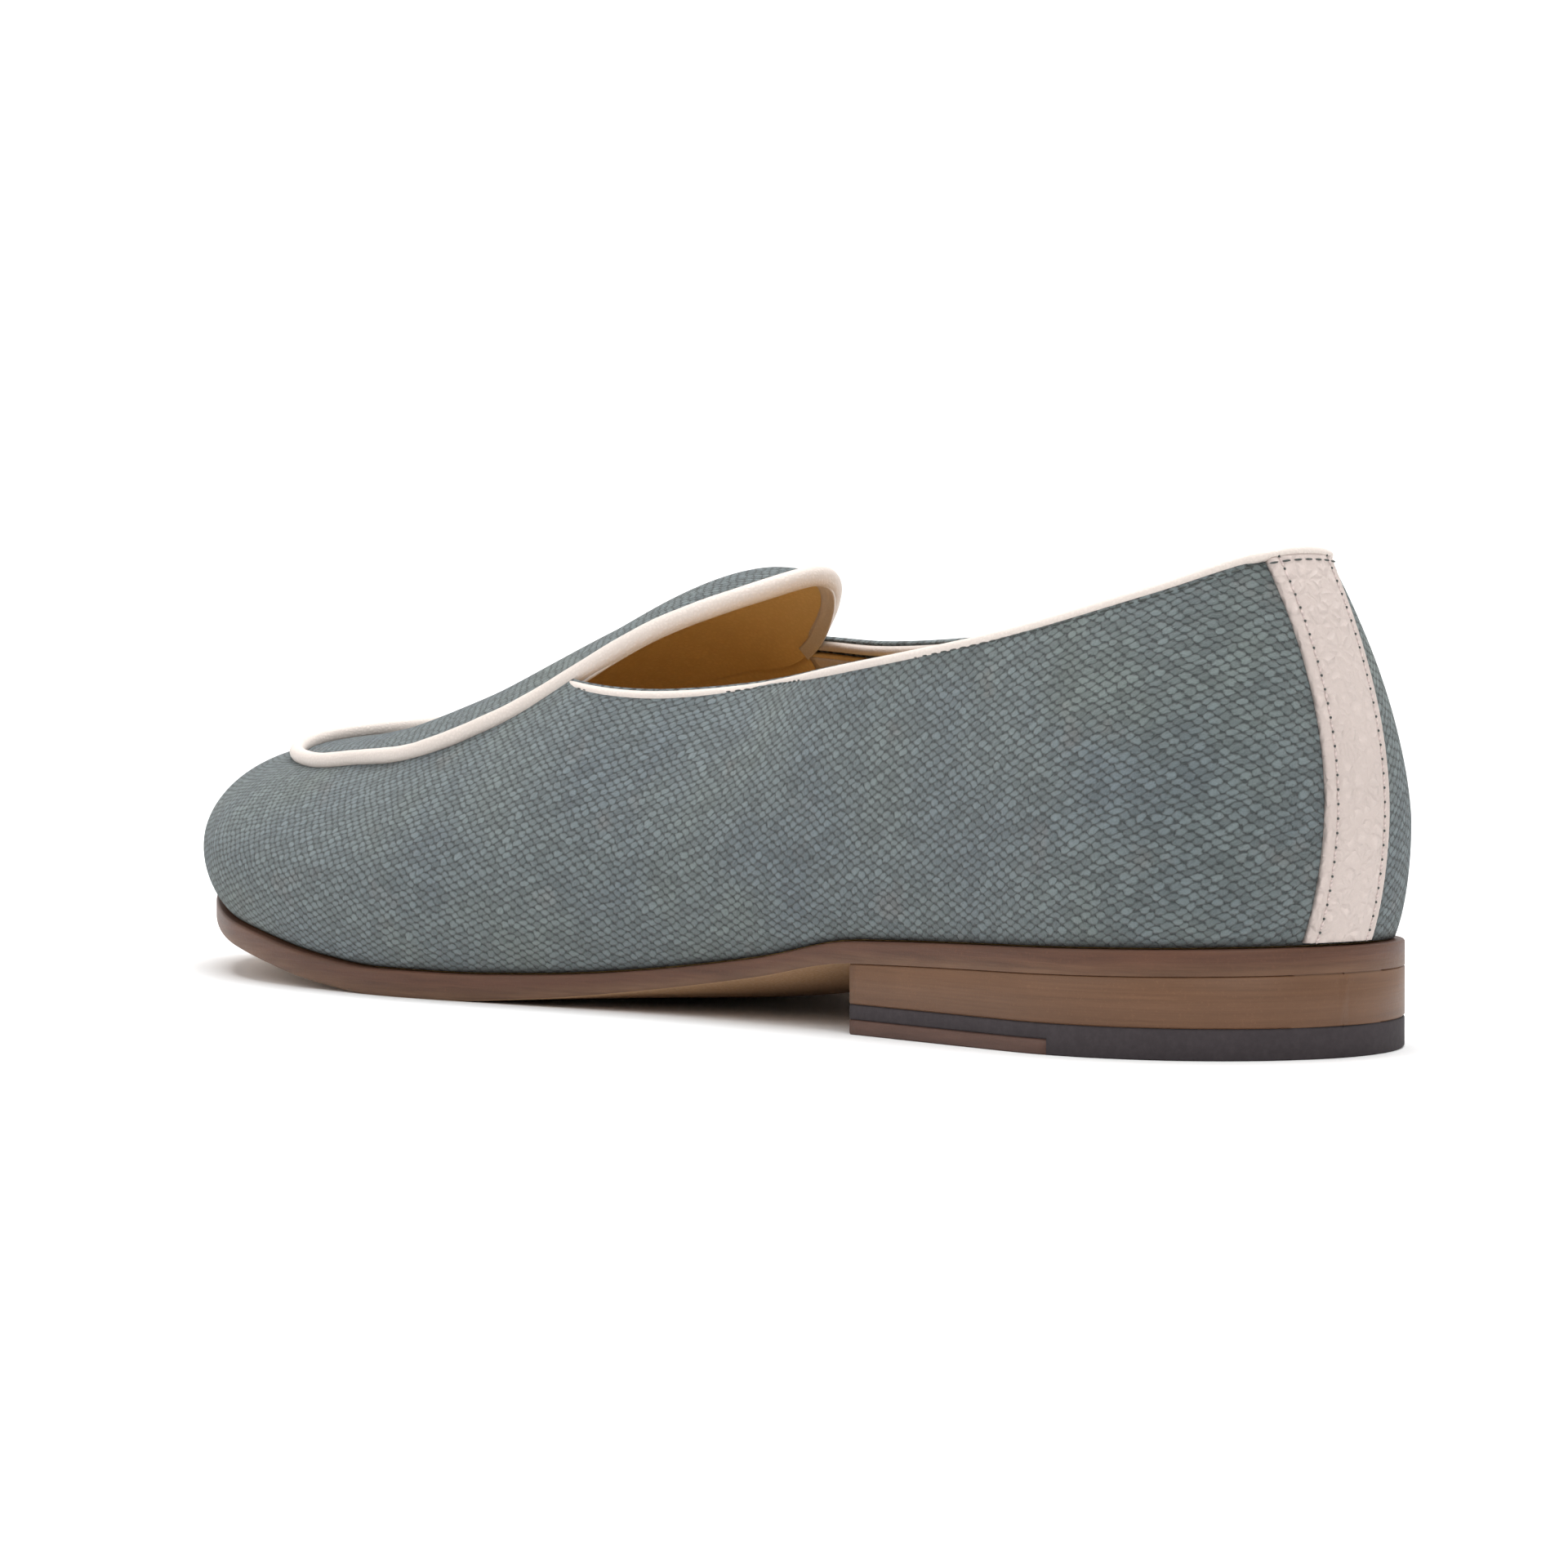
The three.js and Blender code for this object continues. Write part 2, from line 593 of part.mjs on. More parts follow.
// The pieces are built from the back of the heel, and moved so that the shoe's box stands on its own centre.
const shoe = new THREE.Group();
const built = new THREE.Group();
for (const [name, solid, finish] of pieces) {
  const mesh = new THREE.Mesh(geometryFrom(solid), finish);
  mesh.name = name;
  built.add(mesh);
}
const centre = new THREE.Box3().setFromObject(built).getCenter(new THREE.Vector3());
built.position.set(-centre.x, -centre.y, 0);
shoe.add(built);

export default shoe;
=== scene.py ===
"""A Belgian loafer for the left foot, dressed in cloth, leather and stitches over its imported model.

The shoe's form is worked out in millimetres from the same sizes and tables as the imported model. A place there
is (along, across, height): along runs from the back of the heel to the toe, across from the foot's long axis
to its outer side. Only the finished meshes are in metres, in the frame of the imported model.
"""

import math

import bmesh
import bpy
import numpy as np
from bpy.props import FloatProperty, FloatVectorProperty, PointerProperty
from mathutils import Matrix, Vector


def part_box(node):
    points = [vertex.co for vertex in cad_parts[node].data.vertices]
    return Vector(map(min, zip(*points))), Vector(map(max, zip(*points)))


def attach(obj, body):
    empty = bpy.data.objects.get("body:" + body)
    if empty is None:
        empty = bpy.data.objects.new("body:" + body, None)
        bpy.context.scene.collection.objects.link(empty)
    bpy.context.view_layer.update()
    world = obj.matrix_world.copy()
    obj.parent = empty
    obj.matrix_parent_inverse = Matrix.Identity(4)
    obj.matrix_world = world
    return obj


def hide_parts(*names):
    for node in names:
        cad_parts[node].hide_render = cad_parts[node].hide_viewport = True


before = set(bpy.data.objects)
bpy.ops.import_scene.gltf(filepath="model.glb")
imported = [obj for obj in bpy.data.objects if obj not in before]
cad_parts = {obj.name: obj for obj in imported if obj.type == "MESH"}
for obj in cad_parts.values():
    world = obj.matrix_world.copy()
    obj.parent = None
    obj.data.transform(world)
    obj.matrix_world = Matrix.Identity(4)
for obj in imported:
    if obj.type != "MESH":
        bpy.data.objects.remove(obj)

bl_info = {
    "name": "Belgian Loafer",
    "version": (1, 0, 0),
    "blender": (4, 5, 0),
    "location": "View3D > Sidebar > Loafer",
    "description": "Dresses the packed loafer in woven cloth, leather piping, stitches, a sole and a heel",
    "category": "Add Mesh",
}

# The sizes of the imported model, in millimetres.

SOLE_LENGTH = 292.0
BALL_WIDTH = 101.0
SOLE_THICKNESS = 4.6
TOE_SPRING = 12.7
SOLE_BEVEL = 0.7
HEEL_ROUNDING = 40.0
TOE_ROUNDING = 66.0
HEEL_SQUARENESS = 2.05
TOE_SQUARENESS = 2.25
HEEL_LENGTH = 78.0
SEAT_HEIGHT = 12.8
BREAST_HEIGHT = 11.2
BREAST_HOLLOW = 2.5
TOP_PIECE = 4.8
INSERT = 2.4
INSERT_REAR = 31.0
WALL = 2.0
FEATHER_INSET = 1.5
TOE_DEPTH = 33.0
TOE_FULLNESS = 2.6
TUCK_ANGLE = 0.6
INSTEP_HEIGHT = 73.0
BACK_HEIGHT = 76.0
BACK_LEAN = 11.0
LEAN_POWER = 1.8
LEAN_REACH = 120.0
INSOLE_THICKNESS = 2.5
TONGUE_END = 133.0
APRON_END = 265.0
APRON_WIDTH = 62.0
TONGUE_ROUNDING = 66.0
APRON_ROUNDING = 42.0
OUTER_JUNCTION = 162.0
INNER_JUNCTION = 161.0
TONGUE_PIPING_RADIUS = 1.75
APRON_PIPING_RADIUS = 1.4
TONGUE_PIPING_DEPTH = 0.6
APRON_PIPING_RISE = 0.9
PIPING_BLEND = 18.0
BINDING_HEIGHT = 1.8
BINDING_OVERLAP = 0.4
STRIP_FOOT = 13.5
STRIP_TOP = 13.0
STRIP_THICKNESS = 1.1
STRIP_BOW = 2.0
CLEARANCE = 0.3
BALL_AT = 0.6
SOLE_STEPS = 38


def table(columns, *rows):
    """A table with named columns."""
    return {name: np.array([row[i] for row in rows], float) for i, name in enumerate(columns)}


SOLE_PLAN = table(
    ("at", "outer", "inner"),
    (0.0, 0.33, 0.33),
    (0.1, 0.327, 0.327),
    (0.2, 0.325, 0.317),
    (0.27, 0.323, 0.292),
    (0.36, 0.327, 0.255),
    (0.45, 0.352, 0.245),
    (0.55, 0.411, 0.32),
    (0.65, 0.467, 0.45),
    (0.72, 0.474, 0.495),
    (0.82, 0.444, 0.48),
    (0.9, 0.385, 0.436),
    (1.0, 0.3, 0.35),
)
SOLE_PROFILE = table(
    ("at", "lift", "thick", "crown"),
    (0.0, SEAT_HEIGHT / BREAST_HEIGHT, 0.88, 0.0),
    (0.267, 1.0, 0.76, 0.16),
    (0.35, 0.67, 0.7, 0.36),
    (0.45, 0.32, 0.76, 0.58),
    (0.53, 0.1, 0.9, 0.6),
    (BALL_AT, 0.0, 1.0, 0.0),
    (0.655, 0.0, 1.0, 0.0),
    (0.71, 0.09, 1.0, 0.0),
    (0.79, 0.34, 0.97, 0.0),
    (0.87, 0.59, 0.9, 0.0),
    (0.93, 0.76, 0.84, 0.0),
    (1.0, 1.0, 0.8, 0.0),
)
UPPER_SECTIONS = table(
    ("at", "outer", "inner", "waist", "crest", "peak", "full_out", "full_in"),
    (0.0, 0.025, 0.025, 0.25, 1.28, 0.0, 1.5, 1.5),
    (0.1, 0.022, 0.022, 0.22, 1.27, -0.01, 1.8, 1.5),
    (0.25, 0.035, 0.04, 0.22, 1.19, -0.05, 2.2, 2.2),
    (0.4, 0.052, 0.075, 0.25, 0.976, -0.08, 1.5, 2.25),
    (0.5, 0.055, 0.075, 0.25, 1.008, -0.133, 1.66, 1.95),
    (0.6, 0.05, 0.055, 0.23, 0.909, -0.125, 1.55, 1.95),
    (0.7, 0.045, 0.045, 0.2, 0.77, -0.13, 1.6, 2.05),
    (0.8, 0.038, 0.04, 0.16, 0.64, -0.13, 1.85, 2.05),
    (0.9, 0.04, 0.036, 0.13, 0.58, -0.11, 2.1, 2.0),
    (1.0, 0.033, 0.033, 0.1, 0.56, 0.0, 2.2, 2.2),
)
APRON_PLAN = table(
    ("at", "outer", "inner"),
    (0.0, 0.4, 0.43),
    (0.2, 0.497, 0.49),
    (0.4, 0.577, 0.485),
    (0.7, 0.512, 0.42),
    (1.0, 0.42, 0.29),
)
COLLAR_PROFILE = table(
    ("at", "outer", "inner"),
    (0.0, 1.0, 1.0),
    (0.1, 0.73, 0.74),
    (0.25, 0.455, 0.465),
    (0.45, 0.23, 0.235),
    (0.65, 0.054, 0.055),
    (0.85, -0.068, -0.053),
    (1.0, 0.0, 0.0),
)

# Soft folds of the cloth, each a line on one side of the shoe from one place to another. The depth is that of
# a trough, or the height of a ridge where it is negative. Lengths are millimetres.
FOLDS = table(
    ("side", "along_from", "height_from", "along_to", "height_to", "width", "depth"),
    (1, 178, 44, 196, 34, 5.0, 0.3),
    (1, 186, 46, 206, 33, 4.5, -0.22),
    (1, 196, 44, 216, 30, 5.0, 0.28),
    (1, 40, 34, 92, 30, 6.0, 0.25),
    (1, 48, 46, 100, 41, 6.0, -0.2),
    (1, 226, 30, 246, 22, 5.0, 0.2),
    (-1, 182, 44, 200, 32, 5.0, 0.3),
    (-1, 196, 42, 214, 29, 4.5, -0.22),
    (-1, 44, 34, 96, 31, 6.0, 0.25),
    (-1, 110, 40, 150, 34, 7.0, 0.25),
)


def mix(a, b, share):
    return a + (b - a) * share


def smooth(value, low, high):
    """0 below low, 1 above high, and a smooth rise between them."""
    share = np.clip((value - low) / (high - low), 0, 1)
    return share * share * (3 - 2 * share)


def eased(count):
    """Numbers from 0 to 1 that lie closer together at both ends."""
    return (1 - np.cos(np.pi * np.arange(count + 1) / count)) / 2


def read(rows, column, at):
    """Smooth values from a table's column, with no overshoot between its rows."""
    places, values = rows["at"], rows[column]
    slopes = np.diff(values) / np.diff(places)
    product = slopes[:-1] * slopes[1:]
    total = np.where(product > 0, slopes[:-1] + slopes[1:], 1)
    inside = np.where(product > 0, 2 * product / total, 0)
    tangents = np.concatenate(([slopes[0]], inside, [slopes[-1]]))
    x = np.clip(at, places[0], places[-1])
    i = np.clip(np.searchsorted(places, x, side="left") - 1, 0, len(places) - 2)
    step = places[i + 1] - places[i]
    u = (x - places[i]) / step
    lead = step * tangents[i] * u * (1 - u) ** 2
    trail = step * tangents[i + 1] * u * u * (1 - u)
    return mix(values[i], values[i + 1], 3 * u * u - 2 * u**3) + lead - trail


def rounded_end(distance, length, squareness):
    """The growth of a rounded end: 0 at the end itself and 1 from length on."""
    left = np.clip(1 - distance / length, 0, 1)
    return (1 - left**squareness) ** (1 / squareness)


def outline(share, side, inset):
    """Along and across of the sole's outline, moved inwards by inset."""
    along = mix(inset, SOLE_LENGTH - inset, share)
    at = along / SOLE_LENGTH
    heel = rounded_end(along - inset, HEEL_ROUNDING - inset, HEEL_SQUARENESS)
    toe = rounded_end(SOLE_LENGTH - inset - along, TOE_ROUNDING - inset, TOE_SQUARENESS)
    outer = read(SOLE_PLAN, "outer", at) * BALL_WIDTH
    inner = read(SOLE_PLAN, "inner", at) * BALL_WIDTH
    half = (outer + inner) / 2 - inset
    return along, (outer - inner) / 2 + side * half * heel * toe


def sole_bottom(along):
    at = along / SOLE_LENGTH
    return read(SOLE_PROFILE, "lift", at) * np.where(at < BALL_AT, BREAST_HEIGHT, TOE_SPRING)


def sole_top(along):
    return sole_bottom(along) + read(SOLE_PROFILE, "thick", along / SOLE_LENGTH) * SOLE_THICKNESS


def sole_underside(along, turn):
    """The height under the sole at turn, from -1 at its inner edge to 1 at its outer edge."""
    crown = read(SOLE_PROFILE, "crown", along / SOLE_LENGTH)
    return sole_bottom(along) * (1 - crown * (1 - turn * turn))


def spread(*values):
    """The values as arrays of numbers of one shape."""
    return np.broadcast_arrays(*(np.asarray(value, float) for value in values))


def upper_point(share, level, side, inset=0.0):
    """A point of the upper's outer surface, moved inwards by inset. The level is 0 at the foot of the
    section, 1 at its widest line and 2 at its crest."""
    share, level, side, inset = spread(share, level, side, inset)
    foot_along, foot_across = outline(share, side, FEATHER_INSET + inset)
    swell_out = read(UPPER_SECTIONS, "outer", share) * BALL_WIDTH
    swell_in = read(UPPER_SECTIONS, "inner", share) * BALL_WIDTH
    outer_along, outer_across = outline(share, 1, FEATHER_INSET + inset - swell_out)
    inner_along, inner_across = outline(share, -1, FEATHER_INSET + inset - swell_in)
    widest_along = np.where(side > 0, outer_along, inner_along)
    widest_across = np.where(side > 0, outer_across, inner_across)
    foot_height = sole_top(foot_along) + CLEARANCE
    widest_height = foot_height + read(UPPER_SECTIONS, "waist", share) * INSTEP_HEIGHT
    tuck = mix(TUCK_ANGLE, math.pi / 2, np.clip(level, 0, 1))
    out = (np.sin(tuck) - math.sin(TUCK_ANGLE)) / (1 - math.sin(TUCK_ANGLE))
    up = 1 - np.cos(tuck) / math.cos(TUCK_ANGLE)
    below = np.stack(
        (
            mix(foot_along, widest_along, out),
            mix(foot_across, widest_across, out),
            mix(foot_height, widest_height, up),
        ),
        axis=-1,
    )
    turn = np.clip(level - 1, 0, 1) * (math.pi / 2)
    full = np.where(side > 0, read(UPPER_SECTIONS, "full_out", share), read(UPPER_SECTIONS, "full_in", share))
    outward = np.clip(np.cos(turn), 0, 1) ** (2 / full)
    upward = np.clip(np.sin(turn), 0, 1) ** (2 / full)
    crest_along = (outer_along + inner_along) / 2
    crest_across = mix(inner_across, outer_across, 0.5 + read(UPPER_SECTIONS, "peak", share))
    rise = read(UPPER_SECTIONS, "crest", share) * INSTEP_HEIGHT - inset - widest_height
    closing = rounded_end(SOLE_LENGTH * (1 - share), TOE_DEPTH, TOE_FULLNESS)
    height = widest_height + rise * closing * upward
    climb = np.clip((height - widest_height) / (BACK_HEIGHT - widest_height), 0, None)
    near_back = np.clip(1 - share * SOLE_LENGTH / LEAN_REACH, 0, None) ** 2
    above = np.stack(
        (
            mix(crest_along, widest_along, outward) + BACK_LEAN * climb**LEAN_POWER * near_back,
            mix(crest_across, widest_across, outward),
            height,
        ),
        axis=-1,
    )
    return np.where((level <= 1)[..., None], below, above)


def around(share, turn, inset=0.0):
    """A point of the upper's section at turn: 0 at its outer foot, 2 at the crest and 4 at its inner foot."""
    turn = np.asarray(turn, float)
    side = np.where(turn <= 2, 1, -1)
    return upper_point(share, np.where(turn <= 2, turn, 4 - turn), side, inset)


def solve(function, target, low, high, halvings=30):
    """Where a growing function of one value reaches its target."""
    low, high, target = spread(low, high, target)
    for _ in range(halvings):
        middle = (low + high) / 2
        under = function(middle) < target
        low = np.where(under, middle, low)
        high = np.where(under, high, middle)
    return high


def turn_above(along, across, inset=0.0):
    """The turn of the upper's top above a place in plan."""
    share = np.asarray(along, float) / SOLE_LENGTH
    return solve(lambda turn: -around(share, turn, inset)[..., 1], -np.asarray(across, float), 1, 3)


def apron_across(share, side):
    """Half widths of the apron and tongue in plan, as the across of either edge."""
    along = mix(TONGUE_END, APRON_END, share)
    tongue = rounded_end(along - TONGUE_END, TONGUE_ROUNDING, 2)
    front = rounded_end(APRON_END - along, APRON_ROUNDING, 2)
    outer = read(APRON_PLAN, "outer", share) * APRON_WIDTH
    inner = read(APRON_PLAN, "inner", share) * APRON_WIDTH
    return (outer - inner) / 2 + side * (outer + inner) * tongue * front / 2


def apron_point(share, side, inset=0.0):
    along = mix(TONGUE_END, APRON_END, share)
    turn = turn_above(along, apron_across(share, side), inset)
    return around(along / SOLE_LENGTH, turn, inset)


def junction(side):
    return np.where(np.asarray(side) > 0, OUTER_JUNCTION, INNER_JUNCTION)


def collar_height(share, side, inset=0.0):
    """The height of the collar's edge. The share runs from the back to the junction with the apron."""
    at = (junction(side) - TONGUE_END) / (APRON_END - TONGUE_END)
    low = apron_point(at, side, inset)[..., 2]
    outer, inner = read(COLLAR_PROFILE, "outer", share), read(COLLAR_PROFILE, "inner", share)
    return mix(low, BACK_HEIGHT, np.where(np.asarray(side) > 0, outer, inner))


def level_at_height(share, side, height, inset=0.0, halvings=30):
    return solve(lambda level: upper_point(share, level, side, inset)[..., 2], height, 0, 2, halvings)


def collar_point(share, side, inset=0.0, below=0.0):
    """A point of the collar's edge, or below it."""
    section = share * junction(side) / SOLE_LENGTH
    level = level_at_height(section, side, collar_height(share, side, inset) - below, inset)
    return upper_point(section, level, side, inset)


def outward_at(point_at):
    """The direction out of the upper's surface at points that a function of the inset gives."""
    difference = point_at(-1.0) - point_at(1.0)
    return difference / np.linalg.norm(difference, axis=-1, keepdims=True)


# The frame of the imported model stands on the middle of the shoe's length and width. Its sole has SOLE_STEPS.
SHIFT_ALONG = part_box("outsole")[1].y * 1000
SHIFT_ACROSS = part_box("outsole")[1].x * 1000 - outline(eased(SOLE_STEPS), 1, 0.0)[1].max()


def placed(points):
    """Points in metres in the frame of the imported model."""
    points = np.asarray(points, float)
    along, across, height = points[..., 0], points[..., 1], points[..., 2]
    return np.stack((across + SHIFT_ACROSS, SHIFT_ALONG - along, height), axis=-1) / 1000


def grid_faces(rows, width, rings=False):
    """Quads between neighbouring rows of points."""
    across = width if rings else width - 1
    faces = []
    for i in range(rows - 1):
        for j in range(across):
            k = (j + 1) % width
            faces.append((i * width + j, i * width + k, (i + 1) * width + k, (i + 1) * width + j))
    return faces


def capped(grid, first, last):
    """Rings of points with a ring at one point before and after them, which closes both ends."""
    caps = np.broadcast_to(np.stack((first, last))[:, None], (2, *grid.shape[1:]))
    return np.concatenate((caps[:1], grid, caps[1:]))


def new_piece(name, mesh):
    piece = bpy.data.objects.new(name, mesh)
    bpy.context.scene.collection.objects.link(piece)
    return piece


def put_mark(mesh, name, values):
    """Gives each point of a mesh its value under a name that materials and node trees read."""
    mark = mesh.attributes.new(name, "FLOAT", "POINT")
    mark.data.foreach_set("value", np.asarray(values, float).ravel())


def mesh_from(name, grid, rings=False, turned=False, seam_row=None, marks=None):
    """A smooth mesh from rows of points in the shoe's millimetres. Points that meet are joined. The faces of
    a closed mesh point outwards, and an open one's are turned over where asked."""
    rows, width = grid.shape[:2]
    mesh = bpy.data.meshes.new(name)
    mesh.from_pydata(placed(grid).reshape(-1, 3).tolist(), [], grid_faces(rows, width, rings))
    for mark, values in (marks or {}).items():
        put_mark(mesh, mark, values)
    shape = bmesh.new()
    shape.from_mesh(mesh)
    if seam_row is not None:
        shape.verts.ensure_lookup_table()
        for j in range(width - 1):
            first, second = shape.verts[seam_row * width + j], shape.verts[seam_row * width + j + 1]
            shape.edges.get((first, second)).seam = True
    bmesh.ops.remove_doubles(shape, verts=shape.verts, dist=2e-6)
    bmesh.ops.dissolve_degenerate(shape, edges=shape.edges, dist=1e-7)
    if rings:
        bmesh.ops.recalc_face_normals(shape, faces=shape.faces)
    elif turned:
        bmesh.ops.reverse_faces(shape, faces=shape.faces)
    for face in shape.faces:
        face.smooth = True
    shape.to_mesh(mesh)
    shape.free()
    return mesh


def thicken(piece, thickness):
    """Gives a sheet its thickness, in millimetres, behind its faces."""
    shell = piece.modifiers.new("Thickness", "SOLIDIFY")
    shell.thickness = thickness / 1000
    shell.offset = -1
    apply_modifiers(piece)


def apply_modifiers(piece):
    depsgraph = bpy.context.evaluated_depsgraph_get()
    made = bpy.data.meshes.new_from_object(piece.evaluated_get(depsgraph))
    piece.modifiers.clear()
    old = piece.data
    piece.data = made
    bpy.data.meshes.remove(old)


def finish_piece(piece, material, slot, *nodes):
    """Gives a piece its finish, lets it ride on the shoe and hides the nodes that it stands for."""
    if material is not None:
        piece.data.materials.clear()
        piece.data.materials.append(material)
    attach(piece, "root")
    if nodes:
        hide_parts(*nodes)


# Shader nodes.


class Nodes:
    """Adds nodes to one tree and links them in a plain way."""

    def __init__(self, tree):
        self.tree = tree

    def add(self, kind, inputs=None, **settings):
        node = self.tree.nodes.new(kind)
        for name, value in settings.items():
            setattr(node, name, value)
        for key, value in (inputs or {}).items():
            if isinstance(value, bpy.types.NodeSocket):
                self.tree.links.new(value, node.inputs[key])
            else:
                node.inputs[key].default_value = value
        return node

    def add_group(self, group, inputs):
        return self.add("ShaderNodeGroup", inputs, node_tree=group)

    def step(self, kind, result, **inputs):
        """One output of a geometry node."""
        return self.add("GeometryNode" + kind, inputs).outputs[result]

    def math(self, operation, first, second=0.0, clamp=False):
        node = self.add("ShaderNodeMath", {0: first, 1: second}, operation=operation, use_clamp=clamp)
        return node.outputs[0]

    def plus(self, first, second):
        return self.math("ADD", first, second)

    def minus(self, first, second):
        return self.math("SUBTRACT", first, second)

    def times(self, first, second):
        return self.math("MULTIPLY", first, second)

    def scaled(self, vector, factor):
        return self.add("ShaderNodeVectorMath", {0: vector, 3: factor}, operation="SCALE").outputs[0]

    def link(self, socket, node, name):
        self.tree.links.new(socket, node.inputs[name])

    def blend(self, share, first, second, mode="MIX"):
        inputs = {0: share, 6: first, 7: second}
        node = self.add("ShaderNodeMix", inputs, data_type="RGBA", blend_type=mode, clamp_factor=True)
        return node.outputs[2]

    def noise(self, vector, scale, detail=2.0, roughness=0.5):
        inputs = {"Vector": vector, "Scale": scale, "Detail": detail, "Roughness": roughness}
        return self.add("ShaderNodeTexNoise", inputs).outputs["Fac"]

    def ramp(self, value, low, high):
        """A value stretched so that low becomes 0 and high becomes 1."""
        node = self.add("ShaderNodeMapRange", {"Value": value, "From Min": low, "From Max": high}, clamp=True)
        return node.outputs["Result"]


def shader_group(name, numbers, results, fill):
    """The shader node group of a name. The first time it is made, with a vector and numbers to go in, and
    fill writes its nodes and gives the results."""
    if name in bpy.data.node_groups:
        return bpy.data.node_groups[name]
    tree = bpy.data.node_groups.new(name, "ShaderNodeTree")
    tree.interface.new_socket("Vector", in_out="INPUT", socket_type="NodeSocketVector")
    for label, value in numbers.items():
        socket = tree.interface.new_socket(label, in_out="INPUT", socket_type="NodeSocketFloat")
        socket.default_value = value
    for label in results:
        tree.interface.new_socket(label, in_out="OUTPUT", socket_type="NodeSocketFloat")
    nodes = Nodes(tree)
    made = fill(nodes, nodes.add("NodeGroupInput").outputs)
    nodes.add("NodeGroupOutput", dict(zip(results, made)))
    return tree


def fill_weave(nodes, given):
    parts = nodes.add("ShaderNodeSeparateXYZ", {0: given["Vector"]}).outputs
    lengthwise = nodes.math("DIVIDE", parts[0], given["Knot Length"])
    crosswise = nodes.math("DIVIDE", parts[1], given["Row"])
    flat = nodes.add("ShaderNodeCombineXYZ", {0: lengthwise, 1: crosswise}).outputs[0]
    inputs = {"Vector": flat, "Scale": 0.35, "Detail": 4.0, "Roughness": 0.65}
    wander = nodes.add("ShaderNodeTexNoise", inputs).outputs["Color"]
    inputs = {0: wander, 1: (0.5, 0.5, 0.5)}
    centred = nodes.add("ShaderNodeVectorMath", inputs, operation="SUBTRACT").outputs[0]
    drift = nodes.scaled(centred, nodes.times(given["Unevenness"], 5.0))
    bent = nodes.add("ShaderNodeVectorMath", {0: flat, 1: drift}, operation="ADD").outputs[0]
    places = nodes.add("ShaderNodeSeparateXYZ", {0: bent}).outputs
    row = nodes.math("FLOOR", places[1])
    course = nodes.plus(places[0], nodes.times(row, given["Shift"]))
    knot = nodes.math("FLOOR", course)
    across = nodes.minus(nodes.times(nodes.math("FRACT", places[1]), 2.0), 1.0)
    along = nodes.minus(nodes.times(nodes.math("FRACT", course), 2.0), 1.0)
    slanted = nodes.plus(along, nodes.times(across, 0.3))
    long_reach = nodes.math("POWER", nodes.math("ABSOLUTE", slanted), 2.4)
    wide_reach = nodes.math("POWER", nodes.math("ABSOLUTE", across), 2.0)
    reach = nodes.times(nodes.plus(long_reach, wide_reach), 0.8)
    lens = nodes.math("SQRT", nodes.math("SUBTRACT", 1.0, reach, clamp=True))
    label = nodes.add("ShaderNodeCombineXYZ", {0: knot, 1: row}).outputs[0]
    shade = nodes.add("ShaderNodeTexWhiteNoise", {"Vector": label}, noise_dimensions="3D").outputs["Value"]
    fibre = nodes.noise(bent, 3.0, 4.0, 0.8)
    roughened = nodes.minus(fibre, 0.5)
    relief = nodes.times(lens, nodes.plus(nodes.times(shade, 0.35), 0.75))
    # Gap: the places between the knots, which the cloth darkens as painted shade.
    gap = nodes.plus(lens, nodes.times(roughened, 0.8))
    tone = nodes.plus(nodes.times(shade, 0.6), nodes.times(fibre, 0.4))
    return nodes.plus(relief, nodes.times(roughened, 1.2)), nodes.minus(1.0, nodes.ramp(gap, 0.3, 0.85)), tone


def weave_group():
    """Rows of lens-shaped knots of a thick, uneven yarn, each row shifted against the next. Height is the
    cloth's relief, Gap marks the places between the knots that get painted shade, and Tone differs from knot to
    knot."""
    numbers = {"Knot Length": 0.0014, "Row": 0.001, "Shift": 0.42, "Unevenness": 0.3}
    return shader_group("Weave", numbers, ("Height", "Gap", "Tone"), fill_weave)


def fill_grain(nodes, given):
    scaled = nodes.scaled(given["Vector"], nodes.math("DIVIDE", 1.0, given["Pebble"]))
    wander = nodes.add("ShaderNodeTexNoise", {"Vector": scaled, "Scale": 0.9, "Detail": 2.0}).outputs["Color"]
    drift = nodes.scaled(wander, 0.7)
    bent = nodes.add("ShaderNodeVectorMath", {0: scaled, 1: drift}, operation="ADD").outputs[0]
    inputs = {"Vector": bent, "Scale": 1.0}
    edge = nodes.add("ShaderNodeTexVoronoi", inputs, feature="DISTANCE_TO_EDGE").outputs["Distance"]
    inputs = {"Value": edge, "From Max": 0.5}
    pebble = nodes.add("ShaderNodeMapRange", inputs, interpolation_type="SMOOTHSTEP").outputs["Result"]
    pores = nodes.noise(scaled, 5.0, 3.0, 0.6)
    return nodes.plus(pebble, nodes.times(pores, 0.25)), nodes.minus(1.0, nodes.ramp(pebble, 0.0, 0.5))


def grain_group():
    """Leather grain: pebbles with fine creases between them. Height is the relief, Crease marks the
    valleys."""
    return shader_group("Leather Grain", {"Pebble": 0.002}, ("Height", "Crease"), fill_grain)


def fill_mottle(nodes, given):
    count = nodes.math("DIVIDE", 1.0, given["Patch"])
    inputs = {"Vector": given["Vector"], "W": given["Seed"], "Scale": count, "Detail": 3.0, "Roughness": 0.55}
    noise = nodes.add("ShaderNodeTexNoise", inputs, noise_dimensions="4D").outputs["Fac"]
    return (nodes.ramp(noise, 0.35, 0.68),)


